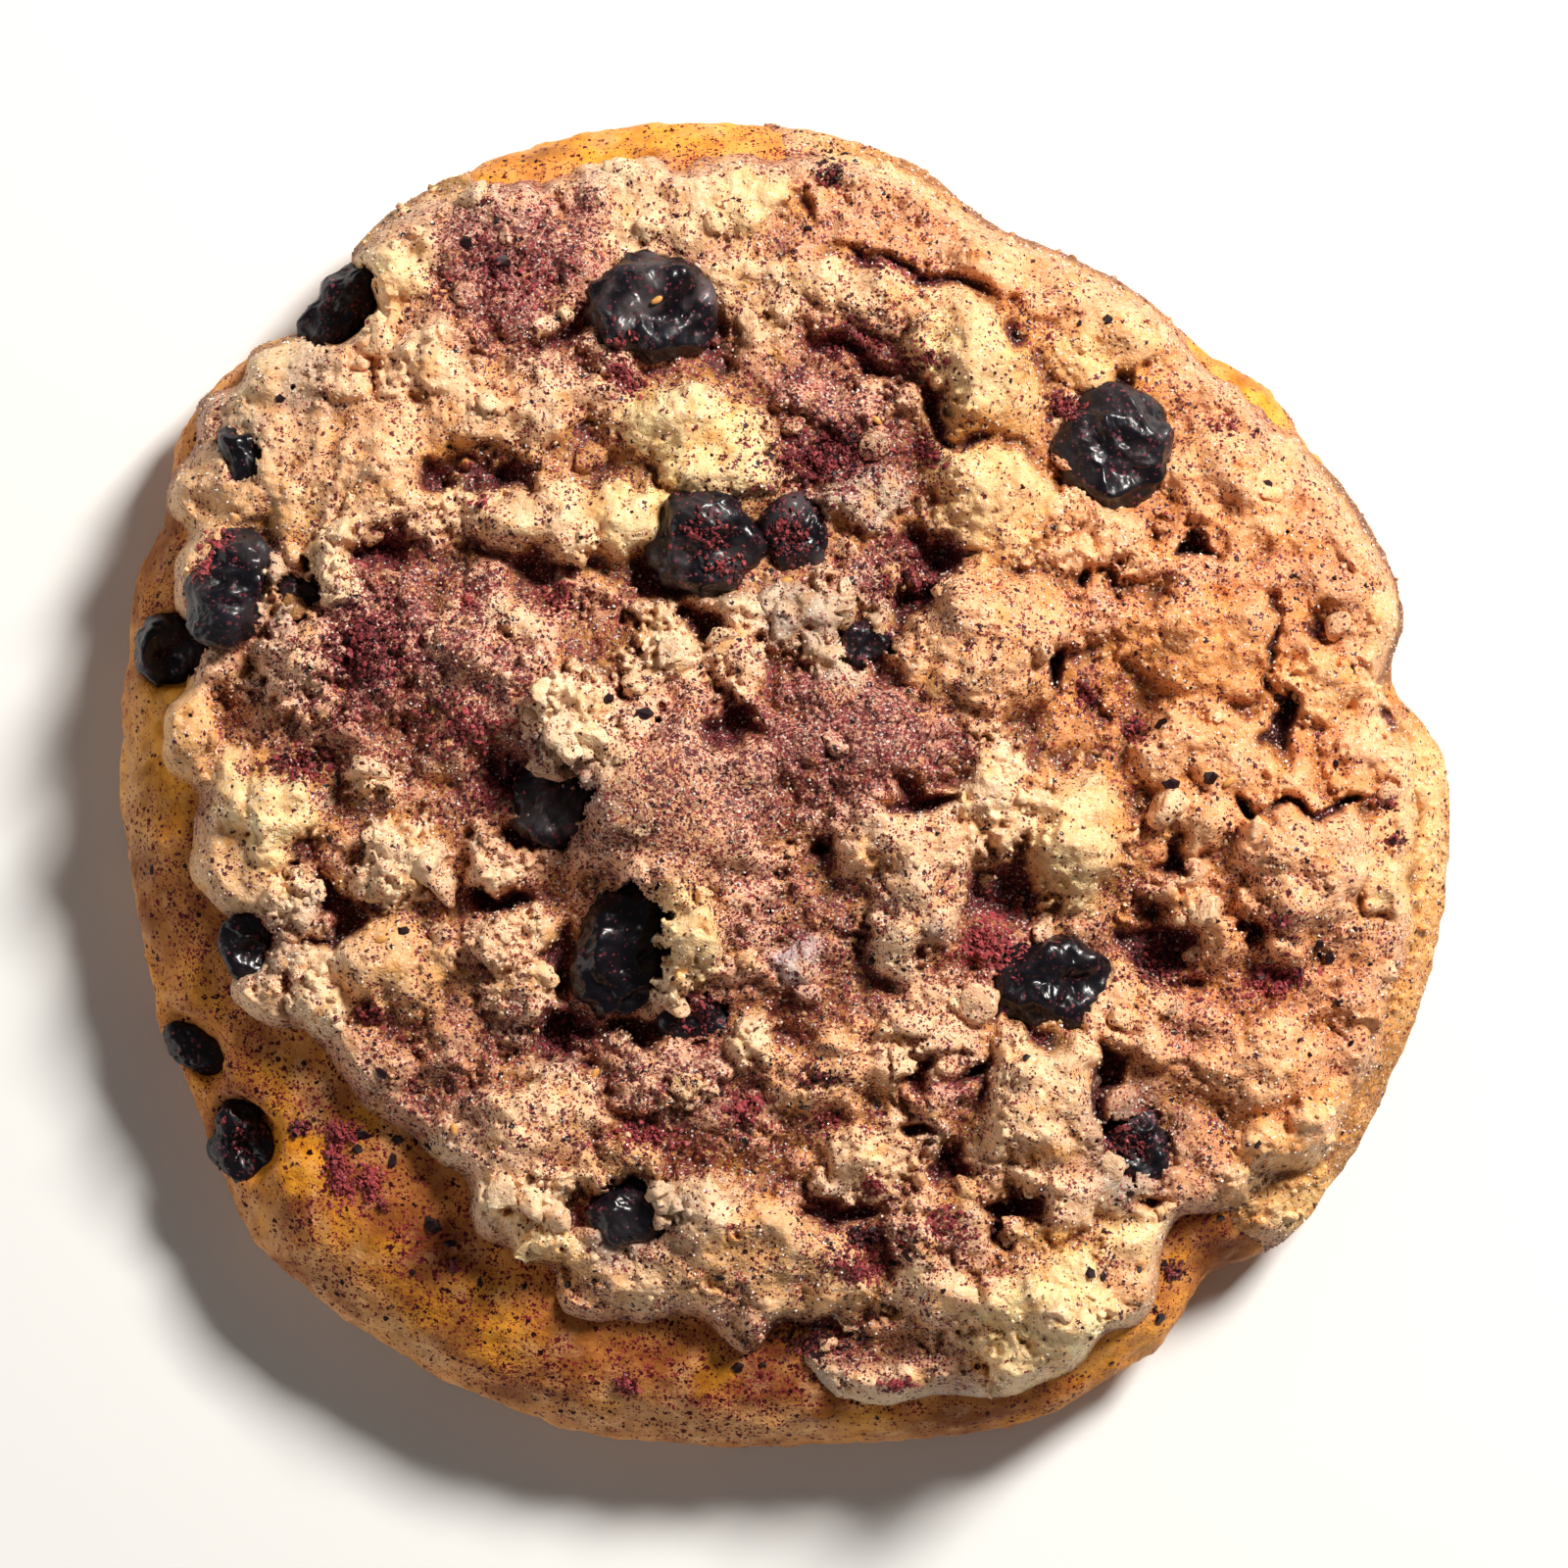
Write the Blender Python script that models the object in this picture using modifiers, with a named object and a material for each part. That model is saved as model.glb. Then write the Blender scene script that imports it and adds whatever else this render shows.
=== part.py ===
"""Streusel cookie: a thick baked round with a browned crust, a lumpy crumb cap and sunken berries.

The tables are in millimetres and degrees. Seen from above, X runs right and Y runs up the
cookie. Z is the height over the flat underside, and angles turn from +X towards +Y.
"""

import math
import random

import bmesh
import bpy
from mathutils import Matrix, Vector, noise

MM = 0.001
GAP = 0.35

# The dough: its outline is a circle with smooth lobes and clefts (angle, half width, height).
RIM_RADIUS = 51.6
RIM_LOBES = (
    (10, 3.0, -3.4),
    (40, 3.5, 1.2),
    (50, 21, -5.0),
    (70, 5, -2.0),
    (110, 13, 1.7),
    (127, 6, 1.6),
    (135, 3.2, -3.4),
    (149, 10, 2.9),
    (156, 2.6, -1.4),
    (191, 5, -0.8),
    (208, 3.5, -1.0),
    (226, 14, 2.0),
    (275, 9, -1.1),
    (292, 6, 1.0),
    (311, 2.6, -2.8),
    (322, 10, 0.7),
)
WAIST_HEIGHT = 5.5
SHOULDER_HEIGHT = 14.0
SHOULDER_WIDTH = 12.0
FOOT_INSET = 4.0
DOME_RISE = 5.0
CRUST_RELIEF = 0.6
DOUGH_SEGMENTS = 120
DOUGH_RINGS = 44
DOUGH_FACETS = 2300

# The crumb cap: how far its edge stands back from the dough's rim, with the same kind of lobes.
CAP_SETBACK = 0.6
CAP_SETBACK_LOBES = (
    (350, 15, 3.4),
    (318, 7, 5.5),
    (41, 3.5, 2.2),
    (100, 12, 3.6),
    (178, 14, 5.8),
    (202, 8, 4.4),
    (226, 15, 13.4),
    (268, 22, 9.6),
)
CAP_THICKNESS = 4.6
CAP_LIP = 1.2
CAP_DEPTH = 3.0
CAP_EDGE_START = 0.88
CAP_SWELL = 1.2
CAP_GRAIN = 0.7
CAP_FACETS = 5600

# Broad masses and clumps: x, y, half length, half width, turn, and the top's height over the cap.
CLUMPS = (
    # Upper right, a smooth slope with long low ridges.
    (14.9, 37.2, 12.0, 4.5, 168, 1.6),
    (25.4, 34.2, 7.0, 4.2, 145, 1.4),
    (-3.1, 43.6, 9.0, 4.6, 175, 1.0),
    (14.7, 30.8, 5.8, 3.8, 128, 3.4),
    (8.4, 33.4, 4.6, 3.4, 20, 1.8),
    (16.0, 23.0, 5.2, 4.4, 150, 3.0),
    (23.5, 18.2, 4.0, 3.4, 0, 2.6),
    (35.4, 22.8, 8.6, 6.2, 130, 2.0),
    (42.0, 14.2, 6.0, 5.2, 100, 2.6),
    (15.6, 10.8, 5.8, 5.2, 45, 4.2),
    (29.0, 12.4, 8.4, 5.0, 20, 2.8),
    # Upper left.
    (-18.1, 43.0, 7.0, 4.4, 20, 0.9),
    (-28.4, 40.6, 6.0, 3.8, 38, 1.0),
    (-17.6, 35.8, 6.6, 4.8, 20, 1.6),
    (-26.6, 31.2, 4.4, 3.0, 15, 2.4),
    (-22.4, 27.4, 4.6, 3.4, 20, 1.8),
    (-30.9, 24.0, 5.0, 4.6, 60, 2.8),
    (-18.5, 21.4, 5.2, 3.6, 20, 2.8),
    (-11.7, 22.8, 4.0, 3.0, 70, 2.6),
    (-5.2, 27.1, 4.8, 3.8, 170, 2.6),
    (3.2, 28.6, 5.2, 4.2, 30, 1.6),
    (-34.2, 16.2, 4.6, 2.4, 82, 2.4),
    (-42.8, 19.4, 4.0, 2.4, 82, 1.6),
    # Left, pink and crumbly.
    (-31.4, 11.4, 7.8, 5.4, 68, 2.8),
    (-23.8, 8.6, 6.6, 5.4, 120, 2.4),
    (-35.2, 4.8, 4.6, 4.4, 0, 1.4),
    (-38.6, -2.6, 3.4, 2.6, 100, 2.2),
    (-42.4, -1.6, 2.6, 2.2, 90, 1.2),
    (-28.2, -4.8, 3.6, 3.0, 0, 2.0),
    (-21.6, -5.6, 2.6, 2.4, 0, 2.6),
    (-20.9, -11.8, 3.6, 3.2, 0, 2.4),
    # Middle.
    (-7.6, 13.0, 5.0, 3.6, 150, 1.4),
    (-15.9, 4.8, 4.0, 3.2, 120, 4.2),
    (-8.0, -1.2, 8.8, 6.6, 118, 4.6),
    (4.4, 4.4, 8.4, 5.4, 168, 2.8),
    (-1.4, 11.6, 4.6, 3.4, 30, 2.0),
    (9.6, -6.4, 5.8, 3.4, 105, 3.4),
    (15.4, -0.4, 3.6, 3.2, 30, 2.8),
    (22.0, -3.8, 4.6, 3.0, 115, 3.6),
    (28.6, 2.6, 5.0, 4.0, 20, 2.0),
    (37.8, 2.4, 3.4, 2.4, 160, 2.0),
    (43.0, 2.0, 3.0, 2.6, 0, 1.8),
    (-6.9, -10.6, 3.2, 2.0, 100, 4.2),
    (2.6, -11.8, 7.6, 5.0, 150, 2.4),
    # Lower right.
    (36.4, -7.0, 7.8, 6.8, 60, 3.6),
    (32.1, -18.8, 9.6, 5.0, 175, 2.4),
    (41.0, -19.4, 5.0, 4.2, 60, 1.2),
    (38.8, -26.0, 3.4, 2.8, 0, 1.8),
    (32.0, -29.0, 4.0, 3.4, 20, 1.0),
    (19.4, -25.2, 7.8, 4.0, 80, 4.2),
    (20.4, -38.6, 6.2, 4.6, 25, 3.0),
    # Lower middle, a broad smooth mass that ends in a ledge.
    (5.1, -22.0, 9.0, 5.6, 170, 2.8),
    (-6.1, -24.3, 8.2, 6.0, 160, 2.4),
    (-1.6, -34.4, 11.0, 5.4, 172, 2.4),
    (10.4, -36.0, 9.0, 5.4, 165, 2.8),
    (-24.9, -20.2, 8.4, 5.4, 152, 2.0),
    (-18.1, -26.0, 6.0, 4.8, 120, 2.6),
    (-31.6, -16.6, 5.4, 4.4, 150, 1.6),
    (-20.0, -32.8, 4.0, 2.8, 150, 1.8),
    # The low shelf under the ledge.
    (6.4, -43.6, 7.0, 3.8, 176, 1.8),
    (16.5, -42.4, 7.0, 3.8, 8, 1.6),
)

# Lumps and loose crumbs spread over the cap by a seeded rule.
SPREAD_SEED = 11
LUMP_TRIES = 700
LUMP_HALF = (2.4, 4.2)
LUMP_RISE = 0.35
LUMP_SPACING = 7.0
CRUMB_TRIES = 260
CRUMB_HALF = (0.8, 1.5)
CRUMB_SPACING = 7.5
CLUMP_NOISE = 0.2

# Clefts between clumps: x, y, half length, half width, turn, depth under the cap's top.
CLEFTS = (
    (20.9, 8.7, 3.8, 1.2, 85, 3.2),
    (10.8, -0.9, 2.8, 1.1, 160, 3.0),
    (35.2, -1.2, 4.2, 1.1, 155, 3.0),
    (-33.6, -9.6, 2.8, 1.9, 20, 3.4),
    (15.2, -31.6, 4.6, 1.3, 130, 3.2),
    (24.6, -21.4, 4.4, 1.3, 80, 3.0),
    (46.2, 5.0, 3.0, 1.1, 120, 2.4),
    (29.8, 17.8, 3.2, 1.2, 20, 2.6),
    (9.2, 15.6, 3.6, 2.0, 60, 2.6),
    (-26.6, -11.0, 3.0, 1.2, 160, 2.6),
)
CLEFT_REACH = 6.0

# Berries: x, y, half length, half width, turn, and the centre's height over the surface there.
BERRIES = (
    (-10.2, 36.4, 4.8, 4.0, 0, 0.4),
    (-6.0, 18.8, 4.3, 3.8, 80, 0.4),
    (1.0, 19.4, 2.6, 2.6, 0, -0.2),
    (24.9, 25.9, 4.7, 4.2, 50, 0.2),
    (-12.3, -11.9, 5.6, 3.8, 80, -1.0),
    (19.9, -14.5, 4.8, 3.5, 10, -0.2),
    (-42.1, 15.2, 4.6, 2.8, 65, 0.4),
    (-47.0, 10.9, 3.2, 2.8, 20, -0.6),
    (-36.5, 15.0, 2.7, 2.0, 75, -0.6),
    (-34.3, 37.0, 4.4, 2.4, 57, 1.5),
    (-41.2, 25.4, 2.5, 2.1, 90, -0.4),
    (-45.4, -19.8, 3.2, 1.8, 132, -0.8),
    (-41.8, -26.9, 3.4, 2.7, 100, -0.6),
    (-40.9, -11.8, 2.7, 2.1, 90, -0.6),
    (-17.4, -1.0, 3.8, 3.3, 60, -1.4),
    (-11.6, -32.0, 3.2, 2.5, 0, -0.6),
    (26.3, -27.0, 3.1, 2.8, 100, -1.0),
    (5.7, 10.8, 2.4, 2.1, 0, -0.4),
    (-6.6, -17.4, 2.5, 2.2, 0, -0.8),
)
BERRY_FLATNESS = 0.9
BERRY_CROWN_DEPTH = 0.16
BERRY_CROWN_SPREAD = 26
BERRY_WRINKLE = 0.05
LARGE_BERRY = 3.4
WELL_FLARE = 1.4
WELL_TOP = 40.0


def polar(radius, angle):
    return radius * math.cos(math.radians(angle)), radius * math.sin(math.radians(angle))


def angle_of(x, y):
    return math.degrees(math.atan2(y, x))


def tilt_of(direction):
    """Angle from the top of the unit sphere, in degrees."""
    return math.degrees(math.acos(max(-1.0, min(1.0, direction.z))))


def lobed(base, lobes, angle):
    """The base length at this angle, with a smooth rise or dip for each lobe."""
    length = base
    for centre, half_width, height in lobes:
        off = (angle - centre + 180) % 360 - 180
        length += height * math.exp(-0.5 * (off / half_width) ** 2)
    return length


def rim_radius(angle):
    return lobed(RIM_RADIUS, RIM_LOBES, angle)


def cap_radius(angle):
    return rim_radius(angle) - lobed(CAP_SETBACK, CAP_SETBACK_LOBES, angle)


def dough_height(x, y):
    """Height of the dough's upper side: a low dome that rolls over the shoulder to the waist."""
    radius = math.hypot(x, y)
    shoulder = rim_radius(angle_of(x, y)) - SHOULDER_WIDTH
    if radius < shoulder:
        return SHOULDER_HEIGHT + DOME_RISE * (0.5 + 0.5 * math.cos(math.pi * radius / shoulder))
    out = min(1.0, (radius - shoulder) / SHOULDER_WIDTH)
    return WAIST_HEIGHT + (SHOULDER_HEIGHT - WAIST_HEIGHT) * math.sqrt(1 - out * out)


def cap_height(x, y):
    """Height of the crumb cap's upper side, which rounds off to a lip at the cap's edge."""
    out = math.hypot(x, y) / cap_radius(angle_of(x, y))
    if out >= 1:
        return dough_height(x, y)
    past_start = max(0.0, (out - CAP_EDGE_START) / (1 - CAP_EDGE_START))
    swell = CAP_SWELL * noise.noise(Vector((x, y, 0)) / 16)
    thickness = (CAP_THICKNESS - CAP_LIP + swell) * math.sqrt(1 - past_start**2)
    return dough_height(x, y) + CAP_LIP + thickness


def on_cap(x, y, margin):
    return math.hypot(x, y) < cap_radius(angle_of(x, y)) - margin


def dough_point(direction):
    """Where a point of the unit sphere lies on the dough."""
    tilt = tilt_of(direction)
    angle = angle_of(direction.x, direction.y)
    rim = rim_radius(angle)
    shoulder = rim - SHOULDER_WIDTH
    top_end, waist, foot = 50, 102, 126
    if tilt < top_end:
        radius = shoulder * tilt / top_end
        height = dough_height(*polar(radius, angle))
    elif tilt < waist:
        roll = math.pi / 2 * (tilt - top_end) / (waist - top_end)
        radius = shoulder + SHOULDER_WIDTH * math.sin(roll)
        height = WAIST_HEIGHT + (SHOULDER_HEIGHT - WAIST_HEIGHT) * math.cos(roll)
    elif tilt < foot:
        roll = math.pi / 2 * (tilt - waist) / (foot - waist)
        radius = rim - FOOT_INSET * (1 - math.cos(roll))
        height = WAIST_HEIGHT * (1 - math.sin(roll))
    else:
        radius = (rim - FOOT_INSET) * (180 - tilt) / (180 - foot)
        height = 0
    x, y = polar(radius, angle)
    place = Vector((x, y, height))
    outward = Vector((x, y, 2 * height)).normalized()
    fade = min(1.0, height / WAIST_HEIGHT)
    waves = noise.noise(place / 11) + 0.5 * noise.noise(place / 5)
    return place + outward * CRUST_RELIEF * fade * waves


def cap_point(direction):
    """Where a point of the unit sphere lies on the plain cap, before its clumps are added."""
    tilt = tilt_of(direction)
    angle = angle_of(direction.x, direction.y)
    edge = cap_radius(angle)
    roll_start, lip, roll_end = 70, 95, 120
    if tilt < roll_start:
        radius = edge * CAP_EDGE_START * tilt / roll_start
    elif tilt < lip:
        roll = math.pi / 2 * (tilt - roll_start) / (lip - roll_start)
        radius = edge * (CAP_EDGE_START + (1 - CAP_EDGE_START) * min(math.sin(roll), 0.999))
    elif tilt < roll_end:
        roll = math.pi / 2 * (tilt - lip) / (roll_end - lip)
        radius = edge * (CAP_EDGE_START + (1 - CAP_EDGE_START) * math.cos(roll))
    else:
        radius = edge * CAP_EDGE_START * (180 - tilt) / (180 - roll_end)
    x, y = polar(radius, angle)
    if tilt < lip:
        return Vector((x, y, cap_height(x, y)))
    under = min(1.0, (tilt - lip) / (roll_end - lip))
    return Vector((x, y, dough_height(x, y) + CAP_LIP - (CAP_LIP + CAP_DEPTH) * under))


def add_object(name, bm, collection):
    mesh = bpy.data.meshes.new(name)
    bm.to_mesh(mesh)
    bm.free()
    obj = bpy.data.objects.new(name, mesh)
    collection.objects.link(obj)
    return obj


def shaped_ball(name, subdivisions, place, collection):
    """An icosphere with each point moved to its place, given in millimetres."""
    bm = bmesh.new()
    bmesh.ops.create_icosphere(bm, subdivisions=subdivisions, radius=1)
    for vert in bm.verts:
        vert.co = place(vert.co.normalized()) * MM
    return add_object(name, bm, collection)


def shaped_globe(name, segments, rings, place, collection):
    """A globe with its meridians kept in line, so that a cleft runs straight over the rim."""
    bm = bmesh.new()
    bmesh.ops.create_uvsphere(bm, u_segments=segments, v_segments=rings, radius=1)
    for vert in bm.verts:
        vert.co = place(vert.co.normalized()) * MM
    return add_object(name, bm, collection)


def turned_frame(x, y, z, turn):
    return Matrix.Translation((x, y, z)) @ Matrix.Rotation(math.radians(turn), 4, "Z")


def add_clump(name, x, y, half_length, half_width, turn, rise, subdivisions, collection):
    """A rough ball of crumb, sunk into the cap until only its top stands over it."""
    half_height = 0.85 * 0.5 * (half_length + half_width)
    frame = turned_frame(x, y, cap_height(x, y) + rise - half_height, turn)
    drift = Vector((x, y, 7.0))

    def place(direction):
        rough = noise.noise(direction * 1.6 + drift) + 0.4 * noise.noise(direction * 4 + drift)
        size = Vector((half_length, half_width, half_height)) * (1 + CLUMP_NOISE * rough)
        return frame @ (direction * size)

    return shaped_ball(name, subdivisions, place, collection)


def spread(rng, tries, spacing, margin, keep_off):
    """Seeded places on the cap, no closer to each other or to the given places than the spacing."""
    places = []
    for _ in range(tries):
        angle = rng.uniform(0, 360)
        x, y = polar(RIM_RADIUS * math.sqrt(rng.random()), angle)
        free = all(math.dist((x, y), other) > spacing for other in places)
        clear = all(math.dist((x, y), other[:2]) > other[2] + margin for other in keep_off)
        if free and clear and on_cap(x, y, margin):
            places.append((x, y))
    return places


def add_clumps(collection):
    for index, (x, y, half_length, half_width, turn, rise) in enumerate(CLUMPS):
        subdivisions = 3 if half_length > 5 else 2
        name = f"clump_{index}"
        add_clump(name, x, y, half_length, half_width, turn, rise, subdivisions, collection)
    rng = random.Random(SPREAD_SEED)
    taken = [(x, y, 0.7 * half_width) for x, y, _, half_width, _, _ in CLUMPS]
    for index, (x, y) in enumerate(spread(rng, LUMP_TRIES, LUMP_SPACING, 1.0, taken)):
        half = rng.uniform(*LUMP_HALF)
        turn = rng.uniform(0, 180)
        name = f"lump_{index}"
        add_clump(name, x, y, half * 1.2, half, turn, LUMP_RISE * half, 2, collection)
    wells = [(x, y, half_length) for x, y, half_length, _, _, _ in BERRIES]
    for index, (x, y) in enumerate(spread(rng, CRUMB_TRIES, CRUMB_SPACING, 0.8, wells)):
        half = rng.uniform(*CRUMB_HALF)
        turn = rng.uniform(0, 180)
        add_clump(f"crumb_{index}", x, y, half * 1.3, half, turn, 1.6 + half, 1, collection)


def berry_centre(x, y, rise):
    surface = cap_height(x, y) if on_cap(x, y, 0) else dough_height(x, y)
    return Vector((x, y, surface + rise))


def berry_mesh(index, grow):
    """A flattened ball with a sunken crown and soft wrinkles, grown outwards to cut its pocket."""
    x, y, half_length, half_width, turn, rise = BERRIES[index]
    centre = berry_centre(x, y, rise)
    half_height = BERRY_FLATNESS * 0.5 * (half_length + half_width)
    frame = turned_frame(*centre, turn)
    crown = Vector((math.cos(index * 2.4), math.sin(index * 2.4), 1.2)).normalized()
    drift = Vector((index * 3.7, 1.3, 5.1))
    segments = 12 if half_length > LARGE_BERRY else 10
    bm = bmesh.new()
    bmesh.ops.create_uvsphere(bm, u_segments=segments, v_segments=segments // 2 + 1, radius=1)
    for vert in bm.verts:
        direction = vert.co.normalized()
        off = math.degrees(direction.angle(crown)) / BERRY_CROWN_SPREAD
        scale = 1 - BERRY_CROWN_DEPTH * math.exp(-off * off)
        scale += BERRY_WRINKLE * noise.noise(direction * 2.5 + drift)
        size = Vector((half_length, half_width, half_height)) * scale
        vert.co = frame @ (direction * (size + Vector((grow, grow, grow)))) * MM
    return bm


def add_well(index, collection):
    """A flared hole over a sunken berry, so that it shows from above."""
    x, y, half_length, half_width, _, rise = BERRIES[index]
    centre = berry_centre(x, y, rise)
    radius = 0.5 * (half_length + half_width) + GAP
    depth = WELL_TOP - centre.z
    bm = bmesh.new()
    bmesh.ops.create_cone(
        bm,
        cap_ends=True,
        segments=10,
        radius1=radius * 0.9 * MM,
        radius2=radius * WELL_FLARE * MM,
        depth=depth * MM,
        matrix=Matrix.Translation(Vector((x, y, centre.z + depth / 2)) * MM),
    )
    return add_object(f"well_{index}", bm, collection)


def add_cleft(index, collection):
    x, y, half_length, half_width, turn, depth = CLEFTS[index]
    frame = turned_frame(x, y, cap_height(x, y) + CLEFT_REACH, turn)
    size = Vector((half_length, half_width, CLEFT_REACH + depth))
    return shaped_ball(f"cleft_{index}", 2, lambda point: frame @ (point * size), collection)


def grown_copy(obj, name, by, collection):
    bm = bmesh.new()
    bm.from_mesh(obj.data)
    bm.normal_update()
    moved = [vert.co + vert.normal * by * MM for vert in bm.verts]
    for vert, place in zip(bm.verts, moved):
        vert.co = place
    return add_object(name, bm, collection)


def apply_modifiers(obj):
    graph = bpy.context.evaluated_depsgraph_get()
    result = bpy.data.meshes.new_from_object(obj.evaluated_get(graph))
    obj.modifiers.clear()
    obj.data = result


def apply_boolean(obj, operation, collection):
    modifier = obj.modifiers.new(operation.title(), "BOOLEAN")
    modifier.operation = operation
    modifier.operand_type = "COLLECTION"
    modifier.collection = collection
    modifier.solver = "MANIFOLD"
    apply_modifiers(obj)


def even_surface(obj, grain):
    """One skin of evenly sized facets over all that was joined, with no slivers left by the join."""
    modifier = obj.modifiers.new("Even", "REMESH")
    modifier.mode = "VOXEL"
    modifier.voxel_size = grain * MM
    apply_modifiers(obj)


def reduce_facets(obj, facets):
    """Merges the smallest facets until about this many triangles are left."""
    obj.data.calc_loop_triangles()
    modifier = obj.modifiers.new("Reduce", "DECIMATE")
    modifier.ratio = facets / len(obj.data.loop_triangles)
    apply_modifiers(obj)


def keep_largest_body(obj):
    """Drops loose scraps and the walls of sealed hollows, and joins what lies in one plane."""
    bm = bmesh.new()
    bm.from_mesh(obj.data)
    unseen = set(bm.verts)
    bodies = []
    while unseen:
        body = set()
        front = [unseen.pop()]
        while front:
            vert = front.pop()
            body.add(vert)
            linked = {edge.other_vert(vert) for edge in vert.link_edges} & unseen
            unseen -= linked
            front.extend(linked)
        bodies.append(body)
    bodies.sort(key=len)
    loose = [vert for body in bodies[:-1] for vert in body]
    bmesh.ops.delete(bm, geom=loose, context="VERTS")
    bmesh.ops.dissolve_limit(bm, angle_limit=math.radians(1), verts=bm.verts, edges=bm.edges)
    bmesh.ops.triangulate(bm, faces=bm.faces)
    bm.to_mesh(obj.data)
    bm.free()


def add_collection(name, parent):
    collection = bpy.data.collections.new(name)
    parent.children.link(collection)
    return collection


def remove_collection(collection):
    for obj in list(collection.objects):
        bpy.data.objects.remove(obj)
    bpy.data.collections.remove(collection)


def plain_material(name, colour, roughness):
    material = bpy.data.materials.new(name)
    material.use_nodes = True
    shader = material.node_tree.nodes["Principled BSDF"]
    shader.inputs["Base Color"].default_value = (*colour, 1)
    shader.inputs["Roughness"].default_value = roughness
    shader.inputs["Metallic"].default_value = 0
    return material


def finish(obj, material):
    obj.data.materials.clear()
    obj.data.materials.append(material)


def centre_on_origin(objects):
    """Moves the cookie so that the middle of its box is over the origin and its foot is at zero."""
    corners = [vert.co for obj in objects for vert in obj.data.vertices]
    low = Vector([min(corner[axis] for corner in corners) for axis in range(3)])
    high = Vector([max(corner[axis] for corner in corners) for axis in range(3)])
    shift = Vector((-(low.x + high.x) / 2, -(low.y + high.y) / 2, -low.z))
    for obj in objects:
        obj.data.transform(Matrix.Translation(shift))
    print("shift in millimetres:", [round(value / MM, 3) for value in shift])


def main():
    for obj in list(bpy.data.objects):
        bpy.data.objects.remove(obj)
    scene_root = bpy.context.scene.collection
    cookie = add_collection("streusel_cookie", scene_root)
    clumps = add_collection("clumps", scene_root)
    openings = add_collection("openings", scene_root)
    cap_cutters = add_collection("cap_cutters", scene_root)
    dough_cutters = add_collection("dough_cutters", scene_root)

    dough = shaped_globe("dough", DOUGH_SEGMENTS, DOUGH_RINGS, dough_point, cookie)
    reduce_facets(dough, DOUGH_FACETS)
    grown_copy(dough, "dough_clearance", GAP, cap_cutters)

    berries = []
    for index in range(len(BERRIES)):
        berries.append(add_object(f"berry_{index + 1:02}", berry_mesh(index, 0), cookie))
        pocket = add_object(f"pocket_{index}", berry_mesh(index, GAP), cap_cutters)
        dough_cutters.objects.link(pocket)
        dough_cutters.objects.link(add_well(index, openings))
    for index in range(len(CLEFTS)):
        add_cleft(index, openings)

    streusel = shaped_ball("streusel", 5, cap_point, cookie)
    add_clumps(clumps)
    apply_boolean(streusel, "UNION", clumps)
    apply_boolean(streusel, "DIFFERENCE", openings)
    even_surface(streusel, CAP_GRAIN)
    reduce_facets(streusel, CAP_FACETS)
    apply_boolean(streusel, "DIFFERENCE", cap_cutters)
    apply_boolean(dough, "DIFFERENCE", dough_cutters)
    for helpers in (clumps, openings, cap_cutters, dough_cutters):
        remove_collection(helpers)
    keep_largest_body(streusel)
    keep_largest_body(dough)

    finish(dough, plain_material("dough", (0.55, 0.28, 0.10), 0.75))
    finish(streusel, plain_material("streusel", (0.72, 0.48, 0.28), 0.85))
    berry_skin = plain_material("berry", (0.02, 0.015, 0.03), 0.35)
    for berry in berries:
        finish(berry, berry_skin)
    centre_on_origin([dough, streusel, *berries])


main()
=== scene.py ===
"""Streusel cookie, dressed: a browned dough round, a lumpy crumb cap dusted with berry powder,
baked berries, and the loose crumbs, flakes, sugar and seeds that lie on it.

The tables are in millimetres and degrees. Seen from above, X runs right and Y runs up the cookie.
"""

import math
from functools import lru_cache

import bmesh
import bpy
import numpy as np
from bpy.props import (
    FloatProperty,
    FloatVectorProperty,
    IntProperty,
    PointerProperty,
)
from mathutils import Matrix, Vector, noise
from mathutils.bvhtree import BVHTree


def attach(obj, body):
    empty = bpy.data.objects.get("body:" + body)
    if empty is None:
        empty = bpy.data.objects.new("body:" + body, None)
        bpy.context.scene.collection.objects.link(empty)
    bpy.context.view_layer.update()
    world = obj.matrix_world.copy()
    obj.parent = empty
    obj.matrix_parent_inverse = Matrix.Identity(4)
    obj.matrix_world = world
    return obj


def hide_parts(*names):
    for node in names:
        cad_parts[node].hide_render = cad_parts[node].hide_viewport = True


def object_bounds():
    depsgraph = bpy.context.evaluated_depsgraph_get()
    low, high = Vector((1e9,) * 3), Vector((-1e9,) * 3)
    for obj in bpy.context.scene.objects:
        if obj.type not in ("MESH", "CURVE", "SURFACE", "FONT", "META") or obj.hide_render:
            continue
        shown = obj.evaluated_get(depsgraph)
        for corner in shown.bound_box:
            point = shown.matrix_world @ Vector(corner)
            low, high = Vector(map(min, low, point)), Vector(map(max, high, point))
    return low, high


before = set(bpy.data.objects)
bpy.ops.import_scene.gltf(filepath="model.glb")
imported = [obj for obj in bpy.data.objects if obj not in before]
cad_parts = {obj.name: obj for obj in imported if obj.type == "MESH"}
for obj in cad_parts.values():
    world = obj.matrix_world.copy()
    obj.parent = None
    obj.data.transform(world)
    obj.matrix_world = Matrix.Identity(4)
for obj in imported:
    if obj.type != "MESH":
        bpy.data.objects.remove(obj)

CAD_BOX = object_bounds()

bl_info = {
    "name": "Streusel cookie",
    "version": (2, 0, 0),
    "blender": (4, 5, 0),
    "location": "3D View > Sidebar > Cookie",
    "description": "Dresses a packed streusel cookie with crumb, crust, berries and powder",
    "category": "Object",
}

MM = 0.001
# How far apart the rays stand that read the solids' tops.
RAY_CELL = 0.45
# How much wider and taller than in the table the lumps are, and how softly they run together.
LUMP_GROWTH = 1.3
LUMP_RISE = 1.15
LUMP_BLEND = 0.9
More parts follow.
